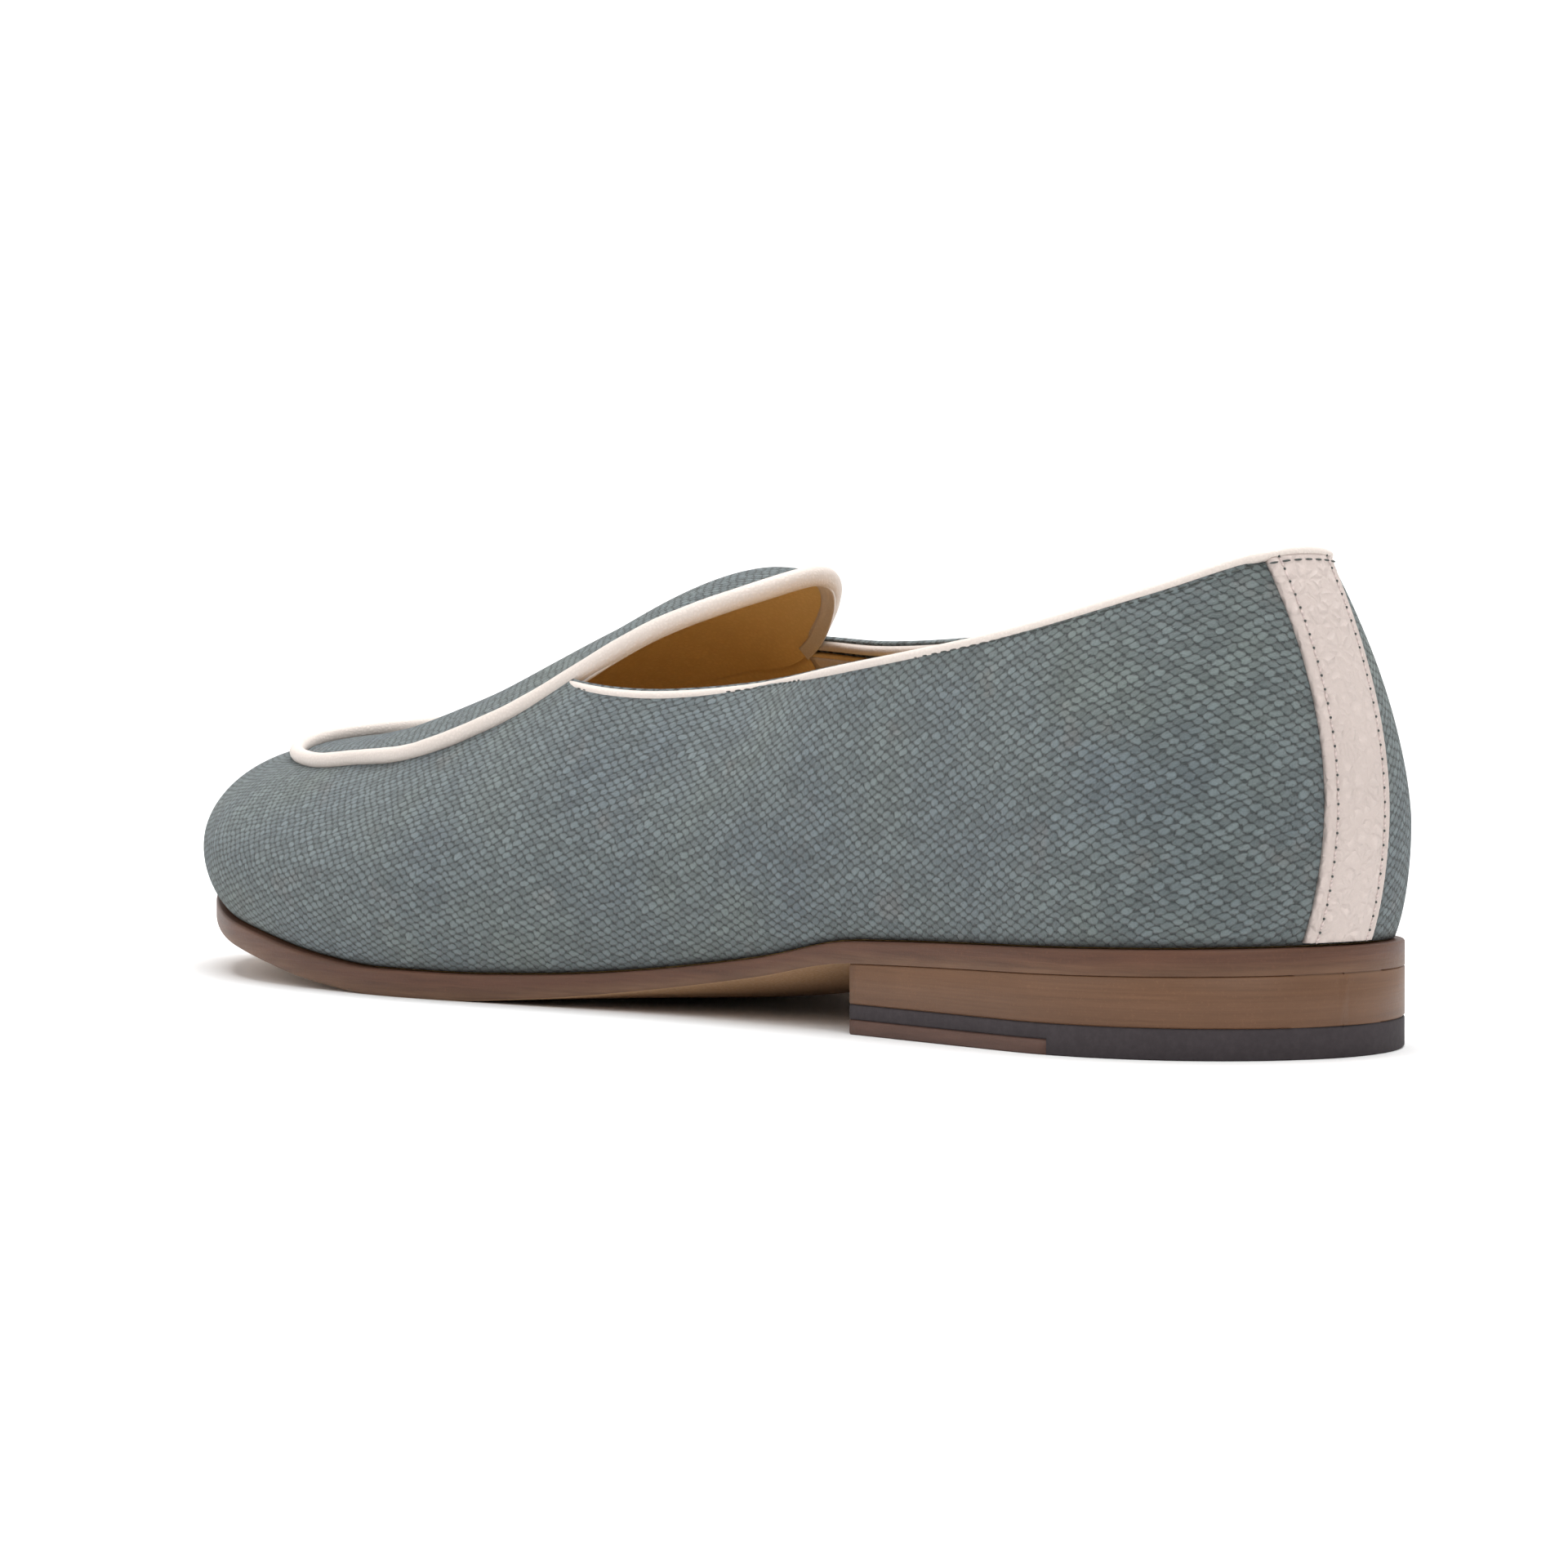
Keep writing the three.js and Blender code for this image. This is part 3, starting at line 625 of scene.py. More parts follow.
def mottle(nodes, vector, patch, seed):
    """Soft cloudy patches from 0 to 1 that differ with the seed."""
    group = shader_group("Mottle", {"Patch": 0.02, "Seed": 0.0}, ("Value",), fill_mottle)
    inputs = {"Vector": vector, "Patch": patch, "Seed": seed}
    return nodes.add_group(group, inputs).outputs["Value"]


def new_material(name, roughness, values):
    """A material with its writer, its shader and its object coordinates. The values are the shader's."""
    material = bpy.data.materials.new(name)
    material.use_nodes = True
    nodes = Nodes(material.node_tree)
    shader = material.node_tree.nodes["Principled BSDF"]
    shader.inputs["Roughness"].default_value = roughness
    for label, value in values.items():
        shader.inputs[label].default_value = value
    return material, nodes, shader, nodes.add("ShaderNodeTexCoord").outputs["Object"]


def bump(nodes, shader, height, distance):
    node = nodes.add("ShaderNodeBump", {"Height": height, "Distance": distance, "Strength": 1.0})
    nodes.link(node.outputs["Normal"], shader, "Normal")


def darker(colour, share):
    """A colour scaled towards black, or made lighter where the share is over 1."""
    return (*(min(1.0, part * share) for part in colour[:3]), 1.0)


def full(colour):
    return darker(colour, 1.0)


def cloth_material(colours, sizes):
    values = {"Sheen Weight": 0.25, "Sheen Roughness": 0.5, "Specular IOR Level": 0.2}
    material, nodes, shader, _ = new_material("Woven cloth", 0.9, values)
    chart = nodes.add("ShaderNodeUVMap", uv_map="cloth").outputs[0]
    inputs = {"Vector": chart, "Knot Length": sizes.knot_length, "Row": sizes.row}
    weave = nodes.add_group(weave_group(), inputs).outputs
    blue = mottle(nodes, chart, 0.022, 1.0)
    green = nodes.ramp(mottle(nodes, chart, 0.03, 7.0), 0.55, 1.0)
    rose = nodes.ramp(mottle(nodes, chart, 0.012, 15.0), 0.75, 1.0)
    colour = nodes.blend(nodes.times(blue, 0.75), full(colours.cloth), full(colours.cloth_blue))
    colour = nodes.blend(nodes.times(green, 0.45), colour, full(colours.cloth_green))
    colour = nodes.blend(nodes.times(rose, 0.3), colour, full(colours.cloth_rose))
    tone = nodes.plus(nodes.times(weave["Tone"], 0.8), 0.66)
    grey = nodes.add("ShaderNodeCombineXYZ", {0: tone, 1: tone, 2: tone}).outputs[0]
    colour = nodes.blend(1.0, colour, grey, "MULTIPLY")
    # Painted shade in the gaps between the knots.
    colour = nodes.blend(nodes.times(weave["Gap"], 0.85), colour, darker(colours.cloth, 0.2))
    # Painted shade: the cloth darkens within 1.6 mm of its foot, where it tucks against the sole.
    foot = nodes.add("ShaderNodeAttribute", attribute_name="foot_distance").outputs["Fac"]
    painted_foot_shade = nodes.minus(1.0, nodes.ramp(foot, 0.0, 1.6))
    colour = nodes.blend(nodes.times(painted_foot_shade, 0.8), colour, darker(colours.cloth, 0.12))
    nodes.link(colour, shader, "Base Color")
    bump(nodes, shader, weave["Height"], sizes.row * 0.5)
    return material


def leather_material(name, colour, pebble, depth, roughness, crease_shade, coat=0.0):
    """Grained leather: pebbles in relief, darker valleys, and a cloudy finish."""
    values = {"Coat Weight": coat, "Coat Roughness": 0.35}
    material, nodes, shader, place = new_material(name, roughness, values)
    grain = nodes.add_group(grain_group(), {"Vector": place, "Pebble": pebble}).outputs
    cloud = mottle(nodes, place, 0.014, 3.0)
    tinted = nodes.blend(nodes.times(cloud, 0.5), full(colour), darker(colour, 0.88))
    tinted = nodes.blend(nodes.times(grain["Crease"], 0.5), tinted, darker(colour, crease_shade))
    nodes.link(tinted, shader, "Base Color")
    nodes.link(nodes.plus(nodes.times(grain["Crease"], 0.12), roughness), shader, "Roughness")
    bump(nodes, shader, grain["Height"], depth)
    return material


def edge_material(name, colour, line_shade, roughness, lines, speckle, depth, low_colour=None):
    """Cut and burnished leather, with fine lines along its layers and small flecks. A low colour shows
    towards the lower edge."""
    material, nodes, shader, place = new_material(name, roughness, {"Specular IOR Level": 0.3})
    stretch = nodes.add("ShaderNodeMapping", {"Vector": place, "Scale": lines}).outputs[0]
    streaks = nodes.noise(stretch, 1.0, 5.0, 0.65)
    flecks = nodes.noise(place, 1 / speckle, 3.0, 0.7)
    cloud = mottle(nodes, place, 0.012, 5.0)
    main = full(colour)
    if low_colour is not None:
        rise = nodes.add("ShaderNodeAttribute", attribute_name="rise").outputs["Fac"]
        wavy = nodes.plus(rise, nodes.times(nodes.minus(streaks, 0.5), 0.25))
        main = nodes.blend(nodes.ramp(wavy, 0.12, 0.62), full(low_colour), full(colour))
    shaded = nodes.blend(1.0, main, full((line_shade,) * 3), "MULTIPLY")
    tinted = nodes.blend(nodes.ramp(streaks, 0.35, 0.7), main, shaded)
    tinted = nodes.blend(nodes.times(nodes.ramp(flecks, 0.55, 0.8), 0.5), tinted, darker(colour, 1.5))
    tinted = nodes.blend(nodes.times(cloud, 0.45), tinted, darker(colour, 0.7))
    nodes.link(tinted, shader, "Base Color")
    nodes.link(nodes.plus(nodes.times(flecks, 0.2), roughness - 0.1), shader, "Roughness")
    bump(nodes, shader, nodes.plus(streaks, nodes.times(flecks, 0.5)), depth)
    return material


def rubber_material(colour):
    material, nodes, shader, place = new_material("Heel rubber", 0.8, {"Specular IOR Level": 0.25})
    dust = nodes.noise(place, 900.0, 4.0, 0.65)
    cloud = mottle(nodes, place, 0.01, 9.0)
    tinted = nodes.blend(nodes.ramp(dust, 0.4, 0.8), full(colour), darker(colour, 1.35))
    tinted = nodes.blend(nodes.times(cloud, 0.3), tinted, darker(colour, 0.75))
    nodes.link(tinted, shader, "Base Color")
    bump(nodes, shader, dust, 0.00006)
    return material


def thread_material(name, colour):
    """Twisted sewing thread, with painted shade in the grooves of its twist."""
    material, nodes, shader, place = new_material(name, 0.7, {})
    inputs = {"Vector": place, "Scale": 900.0, "Distortion": 3.0}
    twist = nodes.add("ShaderNodeTexWave", inputs, bands_direction="DIAGONAL").outputs["Fac"]
    # Painted shade: the grooves between the twist's plies are darker.
    nodes.link(nodes.blend(twist, full(colour), darker(colour, 0.7)), shader, "Base Color")
    bump(nodes, shader, twist, 0.00005)
    return material


# Geometry node trees for what follows a path.


def path_tree(name, numbers):
    """A geometry node tree that takes a path and numbers, with its writer, what it is given and its curve."""
    tree = bpy.data.node_groups.new(name, "GeometryNodeTree")
    tree.interface.new_socket("Geometry", in_out="INPUT", socket_type="NodeSocketGeometry")
    for number in numbers:
        tree.interface.new_socket(number, in_out="INPUT", socket_type="NodeSocketFloat")
    tree.interface.new_socket("Geometry", in_out="OUTPUT", socket_type="NodeSocketGeometry")
    nodes = Nodes(tree)
    given = nodes.add("NodeGroupInput").outputs
    return tree, nodes, given, nodes.step("MeshToCurve", "Curve", Mesh=given["Geometry"])


def finish_tree(nodes, shape, material):
    """Ends a tree with a plain, smooth mesh in its material."""
    real = nodes.step("RealizeInstances", "Geometry", Geometry=shape)
    soft = nodes.step("SetShadeSmooth", "Geometry", Geometry=real)
    dressed = nodes.step("SetMaterial", "Geometry", Geometry=soft, Material=material)
    nodes.add("NodeGroupOutput", {"Geometry": dressed})


def tube_tree(material):
    """A round tube along a path. Its radius at a point is the path's girth times Thickness."""
    tree, nodes, given, path = path_tree("Tube along a path", ("Thickness",))
    inputs = {"Name": "girth"}
    girth = nodes.add("GeometryNodeInputNamedAttribute", inputs, data_type="FLOAT").outputs["Attribute"]
    radius = nodes.times(girth, given["Thickness"])
    sized = nodes.step("SetCurveRadius", "Curve", Curve=path, Radius=radius)
    ring = nodes.step("CurvePrimitiveCircle", "Curve", Resolution=24, Radius=1.0)
    inputs = {"Curve": sized, "Profile Curve": ring, "Scale": radius}
    finish_tree(nodes, nodes.add("GeometryNodeCurveToMesh", inputs).outputs["Mesh"], material)
    return tree


def stitch_tree(material):
    """Stitches along a path: one rounded thread of Length and Thickness at each Pitch, moved on by Offset."""
    numbers = ("Pitch", "Offset", "Length", "Thickness")
    tree, nodes, given, path = path_tree("Stitches along a path", numbers)
    inputs = {"Curve": path, "Length": given["Pitch"]}
    spots = nodes.add("GeometryNodeCurveToPoints", inputs, mode="LENGTH").outputs
    way = nodes.scaled(spots["Tangent"], given["Offset"])
    moved = nodes.step("SetPosition", "Geometry", Geometry=spots["Points"], Offset=way)
    thread = nodes.step("MeshUVSphere", "Mesh", Segments=8, Rings=6, Radius=0.5)
    inputs = {"Vector": spots["Tangent"]}
    turned = nodes.add("FunctionNodeAlignRotationToVector", inputs, axis="Z").outputs[0]
    inputs = {0: given["Thickness"], 1: given["Thickness"], 2: given["Length"]}
    size = nodes.add("ShaderNodeCombineXYZ", inputs).outputs[0]
    inputs = {"Points": moved, "Instance": thread, "Rotation": turned, "Scale": size}
    sewn = nodes.step("InstanceOnPoints", "Instances", **inputs)
    finish_tree(nodes, sewn, material)
    return tree


def grown(name, paths, tree, values, closed=False, girths=None):
    """A plain mesh that a geometry node tree grows along paths of points in the shoe's millimetres."""
    mesh = bpy.data.meshes.new(name + "_path")
    points, edges = [], []
    for path in paths:
        start = len(points)
        points.extend(placed(path).tolist())
        edges.extend((start + i, start + i + 1) for i in range(len(path) - 1))
        if closed:
            edges.append((start + len(path) - 1, start))
    mesh.from_pydata(points, edges, [])
    if girths is not None:
        put_mark(mesh, "girth", np.asarray(girths) / 1000)
    holder = new_piece(name + "_path", mesh)
    modifier = holder.modifiers.new("Growth", "NODES")
    modifier.node_group = tree
    for socket in tree.interface.items_tree:
        if socket.in_out == "INPUT" and socket.name in values:
            modifier[socket.identifier] = float(values[socket.name])
    depsgraph = bpy.context.evaluated_depsgraph_get()
    made = bpy.data.meshes.new_from_object(holder.evaluated_get(depsgraph))
    made.name = name
    bpy.data.objects.remove(holder)
    bpy.data.meshes.remove(mesh)
    return new_piece(name, made)


# The cloth and the lining.


def fold_inset(points, side):
    """How far the folds press the cloth inwards at points of one side."""
    inset = np.zeros(points.shape[:-1])
    for i in range(len(FOLDS["side"])):
        row = {name: values[i] for name, values in FOLDS.items()}
        start = np.array((row["along_from"], row["height_from"]))
        way = np.array((row["along_to"], row["height_to"])) - start
        offset = points[..., [0, 2]] - start
        share = np.clip((offset @ way) / (way @ way), 0, 1)
        distance = np.linalg.norm(offset - share[..., None] * way, axis=-1)
        fade = np.sin(np.pi * np.clip(mix(0.12, 0.88, share), 0, 1))
        if side == row["side"]:
            inset += row["depth"] * fade * np.exp(-((distance / row["width"]) ** 2))
    return inset


def edge_turns(shares, side, inset):
    """The turn at which a side's cloth ends: at the collar, at the apron, or at the middle in front of it."""
    along = shares * SOLE_LENGTH
    collar_share = np.clip(along / junction(side), 0, 1)
    collar = level_at_height(shares, side, collar_height(collar_share, side, inset), inset)
    collar = collar if side > 0 else 4 - collar
    apron_share = np.clip((along - TONGUE_END) / (APRON_END - TONGUE_END), 0, 1)
    apron = turn_above(np.minimum(along, APRON_END), apron_across(apron_share, side), inset)
    front = float(turn_above(APRON_END, apron_across(1.0, 1), inset))
    middle = mix(front, 2.0, (along - APRON_END) / (SOLE_LENGTH - APRON_END))
    return np.where(along <= junction(side), collar, np.where(along < APRON_END, apron, middle))


def side_shares(side, steps):
    """Shares from the back to the toe, gathered at the junction, the apron's front and both ends."""
    stops = [0.0, float(junction(side)) / SOLE_LENGTH, APRON_END / SOLE_LENGTH, 1.0]
    parts = [mix(a, b, eased(count))[:-1] for a, b, count in zip(stops, stops[1:], steps)]
    return np.concatenate(parts + [[1.0]])


def side_columns(shares, side, rows, inset, folds=False):
    """Points at equal steps from the foot to the edge, one column for each share, and how far up each is."""
    foot = 0.0 if side > 0 else 4.0
    edge = edge_turns(shares, side, inset)
    fine = mix(foot, edge[:, None], np.linspace(0, 1, 241))
    course = around(shares[:, None], fine, inset)
    steps = np.linalg.norm(np.diff(course, axis=1), axis=-1)
    lengths = np.concatenate((np.zeros((len(shares), 1)), np.cumsum(steps, axis=1)), axis=1)
    wanted = np.linspace(0, 1, rows)
    turns = np.stack([np.interp(wanted * way[-1], way, turn) for way, turn in zip(lengths, fine)])
    insets = inset
    if folds:
        insets = inset + fold_inset(around(shares[:, None], turns, inset), side)
    return around(shares[:, None], turns, insets), lengths[:, -1:] * wanted


def sides_grid(inset, steps, rows, folds=False):
    """Columns of both sides, from the toe round the outer side and the back to the toe again."""
    outer_shares, inner_shares = side_shares(1, steps), side_shares(-1, steps)
    outer, outer_way = side_columns(outer_shares, 1, rows, inset, folds)
    inner, inner_way = side_columns(inner_shares, -1, rows, inset, folds)
    grid = np.concatenate((outer[::-1], inner[1:]))
    return grid, np.concatenate((outer_way[::-1], inner_way[1:])), len(outer_shares) - 1


def apron_grid(inset, steps, width):
    """Rows across the apron and tongue, from the tongue's end to the apron's front."""
    shares = eased(steps)
    across_out, across_in = apron_across(shares, 1), apron_across(shares, -1)
    across = mix(across_in[:, None], across_out[:, None], (1 - np.cos(np.pi * np.linspace(0, 1, width))) / 2)
    along = np.broadcast_to(mix(TONGUE_END, APRON_END, shares)[:, None], across.shape)
    return around(along / SOLE_LENGTH, turn_above(along, across, inset), inset)


def lay_out(piece, turn_degrees):
    """Unrolls a sheet into its UV map, in metres, with a given turn against the shoe's length."""
    bpy.ops.object.select_all(action="DESELECT")
    bpy.context.view_layer.objects.active = piece
    piece.select_set(True)
    piece.data.uv_layers.new(name="cloth")
    bpy.ops.object.mode_set(mode="EDIT")
    bpy.ops.mesh.select_all(action="SELECT")
    bpy.ops.uv.unwrap(method="MINIMUM_STRETCH", iterations=40, margin=0.0)
    bpy.ops.object.mode_set(mode="OBJECT")
    mesh = piece.data
    chart = np.empty(len(mesh.loops) * 2)
    mesh.uv_layers["cloth"].data.foreach_get("uv", chart)
    chart = chart.reshape(-1, 2)
    corners = np.empty(len(mesh.loops), int)
    mesh.loops.foreach_get("vertex_index", corners)
    places = np.empty(len(mesh.vertices) * 3)
    mesh.vertices.foreach_get("co", places)
    places = places.reshape(-1, 3)[corners]
    outer = places[:, 0] > 0.01
    steps = np.diff(chart, axis=0)[outer[1:] & outer[:-1]]
    ways = np.diff(places, axis=0)[outer[1:] & outer[:-1]]
    lengthwise = np.abs(ways[:, 1]) > 2.5 * np.abs(ways[:, 0]) + 2.5 * np.abs(ways[:, 2])
    scale = np.linalg.norm(ways, axis=1).sum() / np.linalg.norm(steps, axis=1).sum()
    course = (steps[lengthwise] * np.sign(ways[lengthwise, 1])[:, None]).sum(axis=0)
    angle = math.radians(turn_degrees) - math.atan2(course[1], course[0])
    cosine, sine = math.cos(angle), math.sin(angle)
    turned = chart @ np.array(((cosine, sine), (-sine, cosine)))
    mesh.uv_layers["cloth"].data.foreach_set("uv", (turned * scale).ravel())


# The settings that a user would change.


def colour_setting(name, description, default):
    return FloatVectorProperty(name=name, description=description, subtype="COLOR", size=3, min=0, max=1,
                               default=default)


def length_setting(name, description, default):
    return FloatProperty(name=name, description=description, default=default, min=0.00005, subtype="DISTANCE",
                         unit="LENGTH")


class LoaferSizes(bpy.types.PropertyGroup):
    """Sizes of the weave, the stitches and the grain"""

    knot_length: length_setting("Knot", "Length of one knot of the cloth along its row", 0.00172)
    row: length_setting("Row", "Distance from one row of the cloth to the next", 0.00115)
    cloth_thickness: length_setting("Cloth", "Thickness of the cloth", 0.0009)
    lining_thickness: length_setting("Lining", "Thickness of the lining leather", 0.0008)
    pebble: length_setting("Pebble", "Size of a pebble of the back strip's grain", 0.0022)
    stitch_pitch: length_setting("Stitch pitch", "Distance between the stitches of the back strip", 0.0021)
    stitch_length: length_setting("Stitch", "Length of one stitch", 0.0015)
    thread: length_setting("Thread", "Thickness of the sewing thread", 0.00042)
    facing: length_setting("Facing", "Width of the leather turned down inside the collar", 0.0034)
    tongue_facing: length_setting("Tongue facing", "Width of the leather turned under the tongue", 0.0017)
    piping: FloatProperty(name="Piping", description="Thickness of the apron's piping against the model's",
                          default=1.0, min=0.5, max=1.5, subtype="FACTOR")


class LoaferColours(bpy.types.PropertyGroup):
    """Colours of the loafer's cloth, leathers, rubber and thread"""

    cloth: colour_setting("Cloth", "Main colour of the cloth", (0.176, 0.213, 0.211))
    cloth_blue: colour_setting("Cloth, blue", "Blue patches of the cloth", (0.144, 0.18, 0.203))
    cloth_green: colour_setting("Cloth, green", "Green patches of the cloth", (0.18, 0.215, 0.185))
    cloth_rose: colour_setting("Cloth, rose", "Faint rose patches of the cloth", (0.25, 0.22, 0.2))
    piping: colour_setting("Piping", "Leather of the piping and binding", (0.7, 0.62, 0.565))
    strip: colour_setting("Strip", "Leather of the back strip", (0.6, 0.51, 0.47))
    lining: colour_setting("Lining", "Leather of the lining and insole", (0.8, 0.56, 0.25))
    sole_edge: colour_setting("Sole edge", "Burnished edge of the sole", (0.12, 0.052, 0.03))
    sole_edge_low: colour_setting("Sole edge, low", "Lower rim of the sole's edge", (0.17, 0.09, 0.05))
    sole_face: colour_setting("Sole face", "Underside of the sole", (0.34, 0.19, 0.09))
    stack: colour_setting("Heel stack", "Leather lifts of the heel", (0.165, 0.082, 0.043))
    rubber: colour_setting("Rubber", "Rubber of the top piece", (0.042, 0.034, 0.037))
    insert: colour_setting("Insert", "Leather let into the top piece", (0.12, 0.063, 0.047))
    pale_thread: colour_setting("Pale thread", "Thread of the back strip", (0.66, 0.55, 0.52))
    # The dark thread colour also paints the shade inside the back strip's needle holes.
    dark_thread_and_hole_shade: colour_setting("Dark thread", "Collar's thread and needle holes", (0.06, 0.07, 0.065))


def settings():
    scene = bpy.context.scene
    return scene.loafer_sizes, scene.loafer_colours


class LoaferPiece(bpy.types.Operator):
    """What all of the loafer's operators share"""

    bl_options = {"REGISTER", "UNDO"}

    def execute(self, context):
        self.make(*settings())
        return {"FINISHED"}


class MakeCloth(LoaferPiece):
    """Make the woven cloth of the sides, the toe, the apron and the tongue"""

    bl_idname = "loafer.make_cloth"
    bl_label = "Cloth"

    # The rows of the weave fall by this angle, in degrees, towards the back of the outer side.
    row_angle = -20.0

    def make(self, sizes, colours):
        material = cloth_material(colours, sizes)
        grid, way, back = sides_grid(0.0, (64, 72, 36), 64, folds=True)
        mesh = mesh_from("cloth_sides", grid, turned=True, seam_row=back, marks={"foot_distance": way})
        sides = new_piece("cloth_sides", mesh)
        grid = apron_grid(0.0, 96, 48)
        # The apron lies far from the foot everywhere, so it gets none of the painted foot shade.
        clear = np.full(grid.shape[:2], 100.0)
        mesh = mesh_from("cloth_apron", grid, turned=True, marks={"foot_distance": clear})
        apron = new_piece("cloth_apron", mesh)
        lay_out(sides, self.row_angle)
        lay_out(apron, self.row_angle)
        thicken(sides, sizes.cloth_thickness * 1000)
        thicken(apron, sizes.cloth_thickness * 1000)
        finish_piece(sides, material, "cloth", "upper")
        finish_piece(apron, material, "cloth", "upper")


class MakeLining(LoaferPiece):
    """Make the leather lining, and the insole that closes it"""

    bl_idname = "loafer.make_lining"
    bl_label = "Lining and insole"

    def make(self, sizes, colours):
        material = leather_material("Lining leather", colours.lining, 0.0011, 0.00004, 0.55, 0.85)
        grid, _, _ = sides_grid(WALL, (48, 48, 24), 40)
        sides = new_piece("lining_sides", mesh_from("lining_sides", grid))
        tongue = new_piece("lining_tongue", mesh_from("lining_tongue", apron_grid(WALL, 64, 32)))
        for piece in (sides, tongue):
            thicken(piece, sizes.lining_thickness * 1000)
            finish_piece(piece, material, "lining")
        insole = new_piece("insole_sock", mesh_from("insole_sock", self.insole_grid(), rings=True))
        finish_piece(insole, material, "lining", "insole")

    def insole_grid(self):
        """Rings across the insole: rounded at its edge and very slightly dished."""
        inset = FEATHER_INSET + WALL + 2 * CLEARANCE
        profile = ((0.4, 0.0), (0.0, 0.4), (0.0, 2.0), (0.15, 2.35), (0.5, 2.5), (4.0, 2.4), (12.0, 2.1))
        rings = []
        for share in eased(110):
            ring = []
            for side in (1, -1):
                points = []
                for step, height in profile:
                    along, across = outline(share, side, inset + step)
                    points.append((along, across, sole_top(along) + CLEARANCE + height))
                ring.extend(points if side > 0 else points[::-1])
            rings.append(ring)
        return np.array(rings)


class MakePiping(LoaferPiece):
    """Make the round piping of the apron and tongue, and the binding of the collar"""

    bl_idname = "loafer.make_piping"
    bl_label = "Piping and binding"

    facing_thickness = 0.5
    collar_shares = np.linspace(0, 1, 150) ** 1.8

    # How much the binding swells over the strip, and how much it widens at most where the wall leans.
    swell = 0.6
    most_widening = 1.6

    def make(self, sizes, colours):
        material = leather_material("Piping leather", colours.piping, 0.0007, 0.00005, 0.5, 0.86, coat=0.1)
        path, girths = self.apron_path()
        piping = grown("piping_apron", [path], tube_tree(material), {"Thickness": sizes.piping}, True, girths)
        finish_piece(piping, None, "piping", "apron_piping")
        binding = new_piece("binding_collar", mesh_from("binding_collar", self.binding_grid(), rings=True))
        finish_piece(binding, material, "piping", "collar_piping")
        facing = new_piece("facing_collar", mesh_from("facing_collar", self.collar_facing(sizes)))
        thicken(facing, self.facing_thickness)
        finish_piece(facing, material, "piping")
        tongue = new_piece("facing_tongue", mesh_from("facing_tongue", self.tongue_facing(sizes)))
        thicken(tongue, self.facing_thickness)
        finish_piece(tongue, material, "piping")

    def apron_path(self):
        """Centres and radii round the apron and tongue."""
        shares = eased(170)
        loops, radii = [], []
        for side in (1, -1):
            along = mix(TONGUE_END, APRON_END, shares)
            on_vamp = smooth(along - junction(side), -PIPING_BLEND / 2, PIPING_BLEND)
            inset = mix(TONGUE_PIPING_DEPTH, -APRON_PIPING_RISE, on_vamp)
            points = apron_point(shares, side, inset)
            radius = mix(TONGUE_PIPING_RADIUS, APRON_PIPING_RADIUS, on_vamp)
            radius = radius * (1 + 0.012 * np.sin(along * 0.9) + 0.01 * np.sin(along * 0.37 + 1))
            loops.append(points if side > 0 else points[-2:0:-1])
            radii.append(radius if side > 0 else radius[-2:0:-1])
        return np.concatenate(loops), np.concatenate(radii)

    def binding_grid(self):
        """Oval rings along the collar. The binding is wider over the back strip and where the wall leans, but
        narrows again towards its ends under the piping."""
        shares = self.collar_shares
        path, outward = [], []
        for side in (1, -1):
            points = collar_point(shares, side, WALL / 2)
            normals = outward_at(lambda inset: collar_point(shares, side, inset))
            normals[..., 2] = 0
            path.append(points[::-1] if side > 0 else points[1:])
            outward.append(normals[::-1] if side > 0 else normals[1:])
        path, outward = np.concatenate(path), np.concatenate(outward)
        level_share = np.linalg.norm(outward, axis=-1)
        outward /= level_share[:, None]
        tangents = np.gradient(path, axis=0)
        tangents /= np.linalg.norm(tangents, axis=-1, keepdims=True)
        upwards = np.cross(tangents, outward)
        upwards /= np.linalg.norm(upwards, axis=-1, keepdims=True)
        over_strip = 1 - smooth(np.abs(path[:, 1]), STRIP_TOP / 2 - 0.5, STRIP_TOP / 2 + 2.5)
        over_strip *= path[:, 0] < 40
        passed = np.concatenate((shares[::-1], shares[1:]))
        widening = mix(np.minimum(1 / level_share, self.most_widening), 1.0, smooth(passed, 0.72, 0.9))
        thick = WALL / 2 * widening + BINDING_OVERLAP + self.swell * over_strip
        centre = path + outward * (self.swell * over_strip)[:, None]
        rings = []
        for turn in 2 * np.pi * (np.arange(20) + 0.5) / 20:
            lobe = np.sign(np.cos(turn)) * abs(np.cos(turn)) ** 0.8
            rise = np.sin(turn) * BINDING_HEIGHT / 2
            rings.append(centre + outward * (thick * lobe)[:, None] + upwards * rise)
        return capped(np.stack(rings, axis=1), centre[0], centre[-1])

    def collar_facing(self, sizes):
        """The band that the binding turns down inside the collar."""
        shares = self.collar_shares
        columns = []
        for side in (1, -1):
            drops = np.linspace(0.2, sizes.facing * 1000, 8)
            column = np.stack([collar_point(shares, side, WALL + 0.25, drop) for drop in drops], axis=1)
            columns.append(column[::-1] if side > 0 else column[1:])
        return np.concatenate(columns)[:, ::-1]

